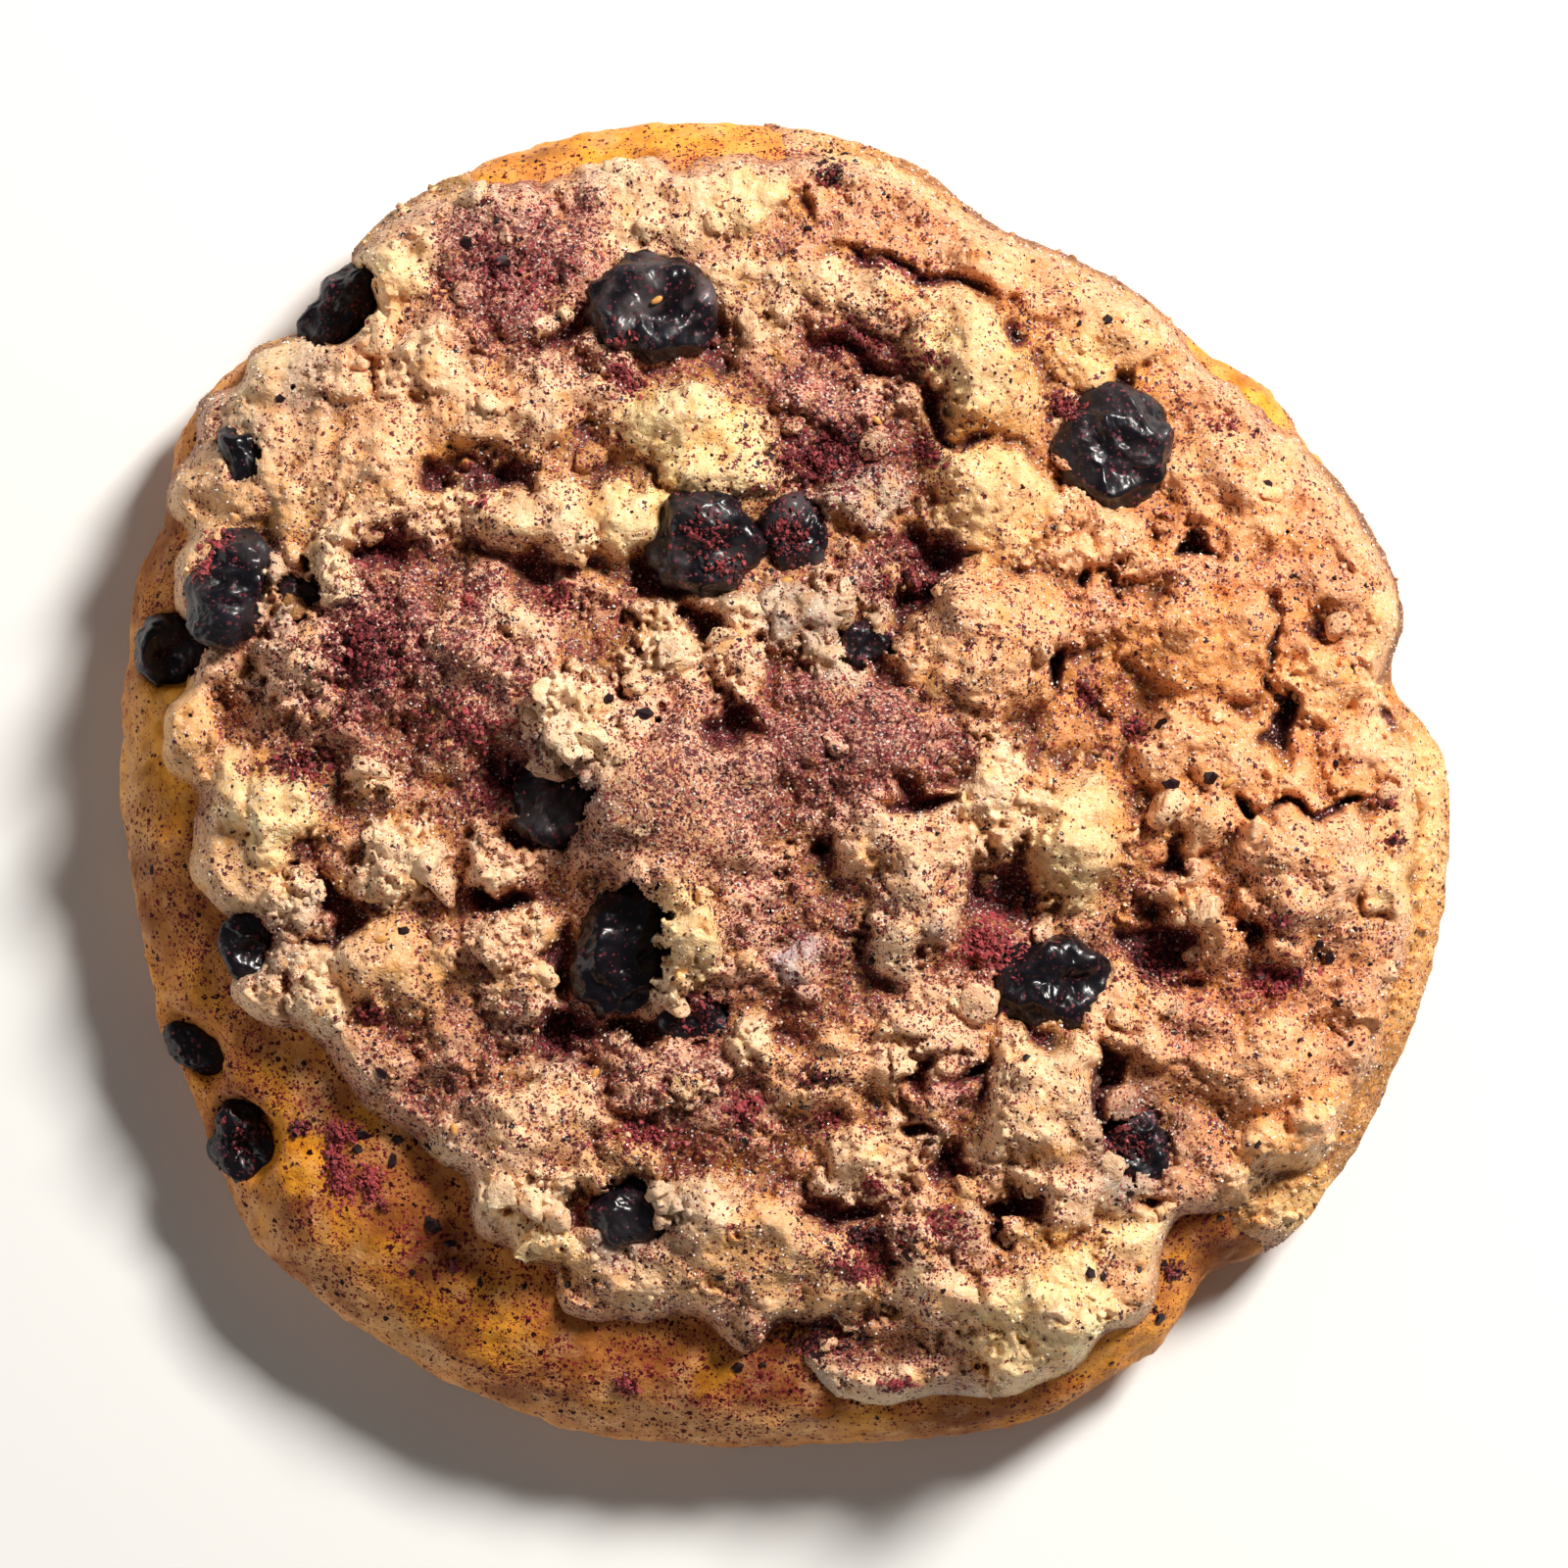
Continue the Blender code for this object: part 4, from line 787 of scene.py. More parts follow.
    # Wells for the berries, with uneven crumb over their edges.
    within = blurred(on_berry.astype(float), 0.8, cell)
    well = within + 0.2 * relief(3.2, 0.4, 1.5, 73)
    near_berry = well > 0.74
    core = np.clip((within - 0.7) * 3.0, 0, 1)
    berry_top = blurred_where(np.where(on_berry, berry, 0.0), on_berry, 0.3, cell)
    sunken = np.minimum(height, berry_top - WELL - WELL_CORE * core)
    height = np.where(near_berry, sunken, height)
    beside = blurred(np.where(near_berry, 1.0, 0.0), 1.1, cell)

    # The cap's edge: a step with a scalloped outline, or a soft run-out.
    covered = (on_cap | (on_berry & (np.hypot(across, up) < 42))).astype(float)
    edge_x, edge_y = 0.6 * calm_x + 0.4 * wild_x, 0.6 * calm_y + 0.4 * wild_y
    inside = (read_at(covered, edge_x, edge_y, cell) > 0.5) & on_dough
    step = np.clip(blurred(inside.astype(float), 0.9, cell) * 2 - 0.5, 0, 1) ** 0.6
    slope = np.clip(blurred(covered, 1.5, cell) * 2 - 0.7, 0, 1)
    soft = patched(flat, SOFT_EDGE, 1.2, 66).reshape(shape)
    bare = patched(flat, BARE_EDGE, 1.6, 76).reshape(shape)
    kept = step * (1 - soft) + np.minimum(slope, on_dough) * soft
    kept *= np.clip(1.3 - 1.6 * bare, 0, 1)

    # Where the cap runs on to the outline, it thins to a crust on the dough.
    full = np.clip(3 * patched(flat, FULL_EDGE, 1.5, 77).reshape(shape) - 1, 0, 1)
    foot = np.clip(blurred(covered, 1.3, cell) * 2 - 0.5, 0, 1)
    thin = full * (1 - foot)
    crust = dough + 0.5 + 0.28 * relief(3.5, 0.25, 1.4, 78)
    height += (crust - height) * thin
    inward = blurred(on_dough.astype(float), 2.2, cell)
    shoulder = np.clip((inward - 0.5) / 0.42, 0, 1) ** 0.6
    height += (1 - shoulder) * (dough + 0.45 - height)
    outline = np.clip((blurred(on_dough.astype(float), 0.35, cell) - 0.42) * 4, 0, 1)
    kept += (outline - kept) * full
    outside = dough - UNDER_DOUGH
    least = dough + ON_DOUGH - 1.6 * near_berry
    height = outside + (np.maximum(height, least) - outside) * kept
    over = np.clip(height - (CAD_BOX[1][2] / MM - TOP_ROOM), 0, None)
    height -= over - TOP_SQUEEZE * np.tanh(over / TOP_SQUEEZE)

    # Colours, with painted shade in the hollows and painted highlights on the crests.
    # How far each place lies below its surroundings: the hollows get painted shade and the crests
    # a painted highlight.
    lows = 0.5 * (blurred(height, 1.2, cell) + blurred(height, 2.8, cell)) - height
    lows -= 0.5 * beside
    hollow_shade = np.clip((lows - 0.12) / 1.15, 0, 1) * kept
    for channel in range(3):
        colour[..., channel] = blurred(colour[..., channel], 0.5, cell)
    colour = colour.reshape(-1, 3)
    glazed = patched(flat, GOLDEN, 1.6, 79)
    rim_colour = mixed(look.butter, look.golden, 0.75 * glazed)
    colour = mixed(colour, rim_colour, 0.85 * thin.ravel())
    clean = patched(flat, CLEAN, 3.0, 80)
    colour = mixed(colour, look.cream, 0.35 * clean)
    colour = mixed(colour, look.amber, 0.26 * clean)
    # Painted highlight: crests that stand above their surroundings are mixed towards the pale
    # tone.
    colour = mixed(colour, look.pale, 0.4 * np.clip(-0.9 * lows, 0, 1).ravel())
    patches = patched(flat, DUSTED, 2.0, 67).reshape(shape)
    drifted = 0.13 * relief(6, 0.8, 1.5, 68) + 0.3 * np.clip(lows, -0.6, 1.2)
    powder = np.clip(blurred(powder, 0.6, cell) * 0.8 + 0.62 * patches + drifted, 0, 1)
    powder *= (1 - 0.7 * thin) * (1 - 0.55 * clean.reshape(shape))
    greyed = patched(flat, GREYED_PATCHES, 1.2, 69)
    amber = patched(flat, AMBER_AND_GLOW, 1.2, 70)
    butter = np.clip(0.6 * relief(5, 0.8, 1.6, 72) - 0.2, 0, 1).ravel()
    # Amber where butter soaked in, and in the amber patches also a painted glow of light through
    # the crumb.
    colour = mixed(colour, look.amber, np.maximum(amber * 0.85, 0.5 * butter))
    colour = mixed(colour, (0.16, 0.14, 0.15), greyed * 0.7)
    # Painted shade in the hollows and cracks: first amber, as light glowing through the crumb,
    # then the dark crevice shade.
    depth = np.clip(hollow_shade * 0.8 + np.clip(sunk, 0, 2) * 0.2 * kept, 0, 1).ravel()
    colour = mixed(colour, look.amber, 0.7 * np.clip(depth * 3, 0, 1))
    colour = mixed(colour, look.crevice_shade, depth)
    colour *= (1.0 + 0.06 * relief(5, 0.6, 1.4, 71)).reshape(-1, 1)
    colour *= 1 - clean.reshape(-1, 1) * (0, 0.22, 0.34)
    return {
        "across": across,
        "up": up,
        "height": height,
        "kept": kept,
        "colour": colour.reshape(*shape, 3),
        "marks": np.stack([powder, rough, depth.reshape(shape)], axis=2),
    }


def mix_of(name):
    """The colour of a tone, or of the mean of the two tones that its name joins."""
    parts = [np.array(getattr(looks(), part)) for part in name.split("-")]
    return sum(parts) / len(parts)


# ---------------------------------------------------------------- materials


def new_material(name):
    """A material with its Principled shader."""
    material = bpy.data.materials.new(name)
    material.use_nodes = True
    return material, material.node_tree.nodes["Principled BSDF"]


def add_node(tree, kind, links=(), **values):
    """Adds a node, sets its own values and its inputs, and links inputs to outputs."""
    made = tree.nodes.new(kind)
    for key, value in values.items():
        setattr(made, key, value)
    for socket, source in links:
        if isinstance(source, bpy.types.NodeSocket):
            tree.links.new(source, made.inputs[socket])
        else:
            made.inputs[socket].default_value = source
    return made


def mix_colour(tree, factor, first, second, blend="MIX"):
    """A mix of two colours."""
    made = add_node(
        tree,
        "ShaderNodeMix",
        ((0, factor), (6, first), (7, second)),
        data_type="RGBA",
        blend_type=blend,
    )
    return made.outputs[2]


def maths(tree, operation, *values):
    """One step of arithmetic."""
    return add_node(tree, "ShaderNodeMath", enumerate(values), operation=operation).outputs[0]


def steps(tree, value, low, high):
    """0 under the low value, 1 over the high one, and smooth between them."""
    made = add_node(
        tree,
        "ShaderNodeMapRange",
        ((0, value), (1, low), (2, high), (3, 0.0), (4, 1.0)),
        interpolation_type="SMOOTHSTEP",
    )
    return made.outputs[0]


def opaque(colour):
    """A colour with full alpha."""
    return (*colour, 1.0)


def new_group(name, inputs, outputs):
    """A node group with the named inputs and outputs, and its two end nodes."""
    group = bpy.data.node_groups.new(name, "ShaderNodeTree")
    for socket, kind in inputs:
        group.interface.new_socket(socket, in_out="INPUT", socket_type=kind)
    for socket in outputs:
        group.interface.new_socket(socket, in_out="OUTPUT", socket_type="NodeSocketFloat")
    enter = group.nodes.new("NodeGroupInput").outputs
    leave = group.nodes.new("NodeGroupOutput").inputs
    return group, enter, leave


def add_group(tree, group, *values):
    """Places a group in a tree and sets or links its inputs in their order."""
    placed = tree.nodes.new("ShaderNodeGroup")
    placed.node_tree = group
    for socket, value in zip(placed.inputs, values):
        if isinstance(value, bpy.types.NodeSocket):
            tree.links.new(value, socket)
        else:
            socket.default_value = value
    return placed.outputs


def vector_step(tree, operation, first, socket, second):
    """One step of arithmetic with vectors."""
    made = add_node(
        tree, "ShaderNodeVectorMath", ((0, first), (socket, second)), operation=operation
    )
    return made.outputs[0]


def place_in(tree):
    """The place on the piece."""
    return add_node(tree, "ShaderNodeTexCoord").outputs["Object"]


def speck_group():
    """Specks of powder: a mask with uneven flecks of one size, as dense as its input says."""
    found = bpy.data.node_groups.get("powder specks")
    if found is not None:
        return found
    group, enter, leave = new_group(
        "powder specks",
        (
            ("Scale", "NodeSocketFloat"),
            ("Density", "NodeSocketFloat"),
            ("Ragged", "NodeSocketFloat"),
            ("Wobble", "NodeSocketVector"),
        ),
        ("Mask", "Shade"),
    )
    shift = vector_step(group, "SUBTRACT", enter["Wobble"], 1, (0.5, 0.5, 0.5))
    sized = vector_step(group, "SCALE", shift, "Scale", enter["Ragged"])
    moved = vector_step(group, "ADD", place_in(group), 1, sized)
    cell = add_node(
        group,
        "ShaderNodeTexVoronoi",
        (("Vector", moved), ("Scale", enter["Scale"]), ("Randomness", 1.0)),
    )
    chance = add_node(group, "ShaderNodeSeparateColor", ((0, cell.outputs["Color"]),))
    chosen = maths(group, "LESS_THAN", chance.outputs[0], enter["Density"])
    reach = maths(group, "MULTIPLY_ADD", chance.outputs[1], 0.34, 0.22)
    inside = maths(group, "LESS_THAN", cell.outputs["Distance"], reach)
    group.links.new(maths(group, "MULTIPLY", chosen, inside), leave["Mask"])
    group.links.new(chance.outputs[2], leave["Shade"])
    return group


def wobble(tree):
    """A fine noise that makes the outlines of flecks uneven."""
    return noise_node(tree, 5200.0, 0.0, 0.5)["Color"]


def add_specks(tree, colour, uneven, scale, density, ragged, dark, light):
    """Lays flecks between a dark and a light colour over a colour."""
    specks = add_group(tree, speck_group(), scale, density, ragged, uneven)
    fleck = mix_colour(tree, specks["Shade"], opaque(dark), opaque(light))
    return mix_colour(tree, specks["Mask"], colour, fleck)


def powdered(tree, colour, dust):
    """Lays berry powder over a colour: a wash where it is thick, and three sizes of flecks."""
    cover = steps(tree, soft_noise(tree, 2600.0, 2.0, 0.75), 0.34, 0.66)
    thick = steps(tree, dust, 0.45, 1.0)
    wash = maths(tree, "MULTIPLY", thick, cover)
    colour = mix_colour(tree, wash, colour, opaque(looks().powder))
    clumped = steps(tree, soft_noise(tree, 900.0, 2.0, 0.65), 0.32, 0.62)
    dense = maths(tree, "MULTIPLY", dust, maths(tree, "MULTIPLY_ADD", clumped, 0.95, 0.2))
    uneven = wobble(tree)
    for scale, share, least, ragged, dark, light in FLECKS:
        density = maths(tree, "MULTIPLY_ADD", dense, share, least)
        colour = add_specks(tree, colour, uneven, scale, density, ragged, dark, light)
    return colour


def grain_group():
    """Fine sugary grain as a height."""
    found = bpy.data.node_groups.get("sugary grain")
    if found is not None:
        return found
    group, _, leave = new_group("sugary grain", (), ("Height",))
    group.links.new(soft_noise(group, 1700.0, 2.0, 0.8), leave["Height"])
    return group


def add_grain(tree, shader, strength, distance):
    """Gives a shader a fine grain."""
    height = add_group(tree, grain_group())["Height"]
    values = (("Strength", strength), ("Distance", distance), ("Height", height))
    bump = add_node(tree, "ShaderNodeBump", values)
    tree.links.new(bump.outputs["Normal"], shader.inputs["Normal"])


def noise_node(tree, scale, detail, roughness):
    """The outputs of a noise over the piece."""
    values = (
        ("Vector", place_in(tree)),
        ("Scale", scale),
        ("Detail", detail),
        ("Roughness", roughness),
    )
    return add_node(tree, "ShaderNodeTexNoise", values).outputs


def soft_noise(tree, scale, detail=3.0, roughness=0.55):
    """A noise value over the piece."""
    return noise_node(tree, scale, detail, roughness)["Fac"]


def read_colour(tree, name):
    """The colour of an attribute."""
    return add_node(tree, "ShaderNodeAttribute", attribute_name=name).outputs["Color"]


def read_marks(tree):
    """The three masks that a piece keeps in its marks."""
    return tuple(
        add_node(tree, "ShaderNodeSeparateColor", ((0, read_colour(tree, "marks")),)).outputs
    )


def set_glow(shader, weight, scale):
    """Lets light through the surface a little, as fatty crumb does."""
    shader.inputs["Subsurface Weight"].default_value = weight
    shader.inputs["Subsurface Radius"].default_value = (1.0, 0.5, 0.25)
    shader.inputs["Subsurface Scale"].default_value = scale


def crumb_material():
    """Baked crumb with powder, sparkles and a sandy grain."""
    material, shader = new_material("baked crumb")
    tree = material.node_tree
    colour = read_colour(tree, "tones")
    dust = read_marks(tree)[0]
    mottle = steps(tree, soft_noise(tree, 1500.0, 2.0, 0.65), 0.32, 0.68)
    light = mix_colour(tree, mottle, (0.84, 0.76, 0.66, 1.0), (1.06, 1.08, 1.14, 1.0))
    colour = mix_colour(tree, 0.7, colour, light, "MULTIPLY")
    colour = powdered(tree, colour, dust)
    glint = steps(tree, soft_noise(tree, 4200.0, 1.0, 0.5), 0.62, 0.70)
    sugar = (0.98, 0.86, 0.74, 1.0)
    colour = mix_colour(tree, maths(tree, "MULTIPLY", glint, 0.6), colour, sugar)
    tree.links.new(colour, shader.inputs["Base Color"])
    gloss = maths(tree, "MULTIPLY_ADD", glint, -0.4, 0.64)
    tree.links.new(gloss, shader.inputs["Roughness"])
    shader.inputs["Specular IOR Level"].default_value = 0.4
    set_glow(shader, 0.35, 0.6 * MM)
    add_grain(tree, shader, 1.0, 0.24 * MM)
    return material


def crust_material():
    """Baked dough with golden and brown crust."""
    material, shader = new_material("baked crust")
    tree = material.node_tree
    colour = read_colour(tree, "tones")
    dust, gold, _ = read_marks(tree)
    cloud = steps(tree, soft_noise(tree, 420.0, 2.0, 0.6), 0.32, 0.68)
    light = mix_colour(tree, cloud, (0.76, 0.56, 0.38, 1.0), (1.15, 1.1, 1.0, 1.0))
    colour = mix_colour(tree, 0.7, colour, light, "MULTIPLY")
    pores = steps(tree, soft_noise(tree, 1500.0, 2.0, 0.6), 0.52, 0.72)
    colour = mix_colour(
        tree, maths(tree, "MULTIPLY", pores, 0.5), colour, (0.62, 0.40, 0.22, 1.0), "MULTIPLY"
    )
    colour = powdered(tree, colour, dust)
    tree.links.new(colour, shader.inputs["Base Color"])
    gloss = maths(tree, "MULTIPLY_ADD", gold, -0.36, 0.66)
    tree.links.new(gloss, shader.inputs["Roughness"])
    shader.inputs["Specular IOR Level"].default_value = 0.1
    add_grain(tree, shader, 0.7, 0.2 * MM)
    return material


def berry_material():
    """Wrinkled, glossy berry skin with grey bloom on its ridges and powder on top."""
    material, shader = new_material("berry skin")
    tree = material.node_tree
    dust, bloom, torn = read_marks(tree)
    grey = maths(tree, "MULTIPLY", bloom, steps(tree, soft_noise(tree, 900.0), 0.35, 0.7))
    colour = mix_colour(tree, grey, opaque(looks().berry), (0.016, 0.016, 0.024, 1.0))
    colour = mix_colour(tree, torn, colour, (0.16, 0.13, 0.13, 1.0))
    spread = maths(tree, "MULTIPLY_ADD", dust, 0.5, 0.05)
    uneven = wobble(tree)
    for scale, ragged in ((4600.0, 0.00016), (2600.0, 0.0003)):
        colour = add_specks(
            tree, colour, uneven, scale, spread, ragged, (0.03, 0.006, 0.012), (0.22, 0.05, 0.07)
        )
    tree.links.new(colour, shader.inputs["Base Color"])
    cover = maths(tree, "MULTIPLY_ADD", dust, 0.4, 0.27)
    tree.links.new(cover, shader.inputs["Roughness"])
    shader.inputs["Specular IOR Level"].default_value = 0.3
    shader.inputs["Coat Weight"].default_value = 0.15
    shader.inputs["Coat Roughness"].default_value = 0.12
    add_grain(tree, shader, 0.3, 0.12 * MM)
    return material


def loose_material(name, roughness):
    """Loose bits that each have their own colour."""
    material, shader = new_material(name)
    tree = material.node_tree
    colour = read_colour(tree, "tones")
    grit = steps(tree, soft_noise(tree, 3600.0, 2.0, 0.6), 0.3, 0.7)
    light = mix_colour(tree, grit, (0.7, 0.6, 0.55, 1.0), (1.1, 1.1, 1.1, 1.0))
    colour = mix_colour(tree, 0.7, colour, light, "MULTIPLY")
    tree.links.new(colour, shader.inputs["Base Color"])
    shader.inputs["Roughness"].default_value = roughness
    shader.inputs["Specular IOR Level"].default_value = 0.3
    return material


# ---------------------------------------------------------------- shapes


def rough_ball(divisions, jitter, seed, stretch=(1.0, 1.0, 1.0)):
    """An uneven ball about one millimetre in radius."""
    build = bmesh.new()
    bmesh.ops.create_icosphere(build, subdivisions=divisions, radius=1.0)
    start = Vector((seed * 3.7, seed * 1.9, seed * 5.3))
    for vertex in build.verts:
        swell = noise.fractal(vertex.co * 1.6 + start, 1.0, 2.0, 2)
        vertex.co *= 1.0 + jitter * swell
        vertex.co = Vector(a * b for a, b in zip(vertex.co, stretch))
    return shape_of(build)


def broken_ball(seed):
    """A chunk about one millimetre in radius, broken flat on some of its sides."""
    build = bmesh.new()
    bmesh.ops.create_icosphere(build, subdivisions=3, radius=1.0)
    random = np.random.default_rng(seed)
    start = Vector(random.uniform(0, 90, 3))
    breaks = [
        (Vector(random.normal(size=3)).normalized(), random.uniform(0.35, 0.75))
        for _ in range(7)
    ]
    for vertex in build.verts:
        for side, depth in breaks:
            past = vertex.co.dot(side) - depth
            if past > 0:
                vertex.co -= side * past * 0.9
        out = vertex.co.normalized()
        vertex.co += out * 0.22 * noise.fractal(vertex.co * 1.8 + start, 0.9, 2.0, 3)
        vertex.co += out * 0.12 * noise.fractal(vertex.co * 5.0 + start, 0.9, 2.0, 2)
    return shape_of(build)


def chip(seed, thickness, corners):
    """A thin, bent, angular flake."""
    build = bmesh.new()
    bmesh.ops.create_cone(
        build,
        cap_ends=True,
        segments=corners,
        radius1=1.0,
        radius2=0.7,
        depth=thickness,
    )
    start = Vector((seed * 4.1, seed * 2.7, seed * 6.1))
    # The offsets of noise_vector come from the clock unless they are seeded.
    noise.seed_set(seed)
    for vertex in build.verts:
        vertex.co += 0.45 * noise.noise_vector(vertex.co * 1.1 + start)
    return shape_of(build)


def shape_of(build):
    """The points and triangles of a shape, whose build ends here."""
    bmesh.ops.triangulate(build, faces=build.faces)
    bmesh.ops.recalc_face_normals(build, faces=build.faces)
    build.verts.index_update()
    points = np.array([vertex.co[:] for vertex in build.verts])
    faces = np.array([[vertex.index for vertex in face.verts] for face in build.faces])
    build.free()
    return points, faces


def turned(normals, random):
    """Rotations that set each bit's own Z on the normal, turned at random about it."""
    around = random.uniform(0, 2 * math.pi, len(normals))
    made = np.empty((len(normals), 3, 3))
    for index, normal in enumerate(normals):
        tilt = UP.rotation_difference(Vector(normal)).to_matrix()
        made[index] = tilt @ Matrix.Rotation(around[index], 3, "Z")
    return made


def joined_bits(name, shapes, centres, turns, sizes, colours, random, marks=None):
    """One piece of many turned and sized copies of a few shapes, each copy with its colour."""
    chosen = random.integers(0, len(shapes), len(centres))
    points, faces, tones, masks = [], [], [], []
    total = 0
    for index, (corners, triangles) in enumerate(shapes):
        mine = np.flatnonzero(chosen == index)
        grown = corners[None, :, :] * sizes[mine][:, None, :]
        placed = np.einsum("nij,nkj->nki", turns[mine], grown) + centres[mine][:, None, :]
        points.append(placed.reshape(-1, 3))
        start = total + np.arange(len(mine)) * len(corners)
        faces.append((triangles[None, :, :] + start[:, None, None]).reshape(-1, 3))
        tones.append(np.repeat(colours[mine], len(corners), axis=0))
        if marks is not None:
            masks.append(np.repeat(marks[mine], len(corners), axis=0))
        total += len(mine) * len(corners)
    points = np.concatenate(points)
    mesh = bpy.data.meshes.new(name)
    mesh.from_pydata((points * MM).tolist(), [], np.concatenate(faces).tolist())
    keep_colour(mesh, "tones", np.concatenate(tones))
    if marks is not None:
        keep_colour(mesh, "marks", np.concatenate(masks))
    move_points(mesh, points)
    return add_piece(name, mesh)


def cap_samples(weight, count, random):
    """Random raster places on the cap, picked by weight: spots, normals, tones and marks."""
    fields = cap_fields(looks().crumb_mesh / MM)
    cell = looks().crumb_mesh / MM
    height = fields["height"]
    rise_up, rise_across = np.gradient(height, cell)
    stretch = np.sqrt(1 + rise_up**2 + rise_across**2)
    chance = (weight(fields["marks"]) * stretch * (fields["kept"] > 0.6)).ravel()
    picked = random.choice(chance.size, count, p=chance / chance.sum())
    across = fields["across"].ravel()[picked] + random.uniform(-0.5, 0.5, count) * cell
    up = fields["up"].ravel()[picked] + random.uniform(-0.5, 0.5, count) * cell
    spots = np.stack([across, up, read_at(height, across, up, cell)], axis=1)
    normals = np.stack([-rise_across, -rise_up, np.ones(height.shape)], axis=2)
    normals = (normals / stretch[..., None]).reshape(-1, 3)[picked]
    # The cap's tones carry its painted shade in the hollows and painted highlights on the crests.
    tones = fields["colour"].reshape(-1, 3)[picked]
    marks = fields["marks"].reshape(-1, 3)[picked]
    return spots, normals, tones, marks


class Ground:
    """What a dropped thing lands on: the cap, or the dressed dough and berries."""

    def __init__(self):
        self.cell = looks().crumb_mesh / MM
        fields = cap_fields(self.cell)
        self.height = np.where(fields["kept"] > 0.3, fields["height"], -9.0)
        names = ["dough_round", *(f"{node}_skin" for node in BERRIES)]
        self.tree = surface_tree(*(bpy.data.objects[name] for name in names))

    def under(self, x, y):
        """The highest point under a place and the slope there, or None outside the cookie."""
        hit, normal, _, _ = self.tree.ray_cast(Vector((x, y, ABOVE)), -UP)
        step = self.cell
        places = np.array([[0.0, step, -step, 0.0, 0.0], [0.0, 0.0, 0.0, step, -step]])
        here, right, left, over, below = read_at(self.height, x + places[0], y + places[1], step)
        if hit is None or hit.z >= here:
            return hit, normal
        slope = Vector((left - right, below - over, 2 * step))
        return Vector((x, y, here)), slope.normalized()


def finish_piece(piece, material, nodes=(), smooth=True):
    """Gives a piece its material, body and slot, and the solids it stands for."""
    piece.data.materials.clear()
    piece.data.materials.append(material)
    if smooth:
        piece.data.shade_smooth()
    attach(piece, "root")
    if nodes:
        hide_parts(*nodes)


# ---------------------------------------------------------------- pieces


class COOKIE_OT_dough(bpy.types.Operator):
    """Makes the dough round with its browned crust"""

    bl_idname = "cookie.dough"
    bl_label = "Dough"

    def execute(self, context):
        look = looks()
        piece = node_copy("dough", "dough_round")
        add_rounding(piece, 1)
        even = piece.modifiers.new("even faces", "REMESH")
        even.mode = "VOXEL"
        even.voxel_size = look.dough_mesh
        calm = piece.modifiers.new("calm", "SMOOTH")
        calm.iterations = 4
        calm.factor = 0.5
        settle_modifiers(piece)
        mesh = piece.data
        points = points_of(mesh)
        normals = normals_of(mesh)
        free = np.clip((points[:, 2] - 0.2) / 1.5, 0, 1)
        relief = 0.4 * waves(points, 5.0, 3, 4) + 0.1 * waves(points, 1.1, 5)
        relief += 0.16 * (cobbles(points, 1.8, 2) - 0.6)
        points += normals * (relief * free)[:, None]
        move_points(mesh, points)
        flank = np.clip((9.0 - points[:, 2]) / 7.0, 0, 1)
        colour = np.tile(np.array(look.crust), (len(points), 1))
        # Browned crust, with a painted shadow under the cap's ledge.
        brown = patched(points, BROWNING_AND_SHADE, 2.0, 31)
        colour = mixed(colour, look.brown, brown * (0.75 + 0.4 * waves(points, 4.0, 32)))
        gold = patched(points, GOLDEN, 1.6, 33)
        colour = mixed(colour, look.golden, gold)
        # Paler crust, with painted light on the shaded left flank.
        colour = mixed(colour, look.cream, 0.7 * patched(points, PALED_AND_LIT, 1.4, 34))
        colour = mixed(colour, look.brown, 0.12 * flank)
        blotches = waves(points, 4.5, 37, 4)
        colour = mixed(colour, look.golden, 0.6 * np.clip(2.6 * blotches - 0.4, 0, 1))
        colour = mixed(colour, look.brown, 0.6 * np.clip(-2.6 * blotches - 0.4, 0, 1))
        pale = np.clip(2.4 * waves(points, 2.4, 38, 3) - 0.5, 0, 1)
        colour = mixed(colour, look.cream, 0.4 * pale)
        colour *= (1 + 0.12 * waves(points, 6.0, 36))[:, None]
        high = np.clip((points[:, 2] - 6.0) / 6.0, 0, 1)
        dust = high * (0.42 + 0.5 * waves(points, 5.0, 35))
        dust *= 1 - 0.85 * gold
        keep_colour(mesh, "tones", colour)
        keep_colour(mesh, "marks", np.stack([dust, gold, flank], axis=1))
        finish_piece(piece, crust_material(), ("dough",))
        return {"FINISHED"}


class COOKIE_OT_streusel(bpy.types.Operator):
    """Makes the crumb cap in four quarters"""

    bl_idname = "cookie.streusel"
    bl_label = "Streusel"

    def execute(self, context):
        cap_fields.cache_clear()
        material = crumb_material()
        for number, (right, over) in enumerate(((-1, -1), (1, -1), (-1, 1), (1, 1)), 1):
            piece = cap_quarter(f"streusel_cap_{number}", right, over)
            finish_piece(piece, material, ("streusel",))
        return {"FINISHED"}


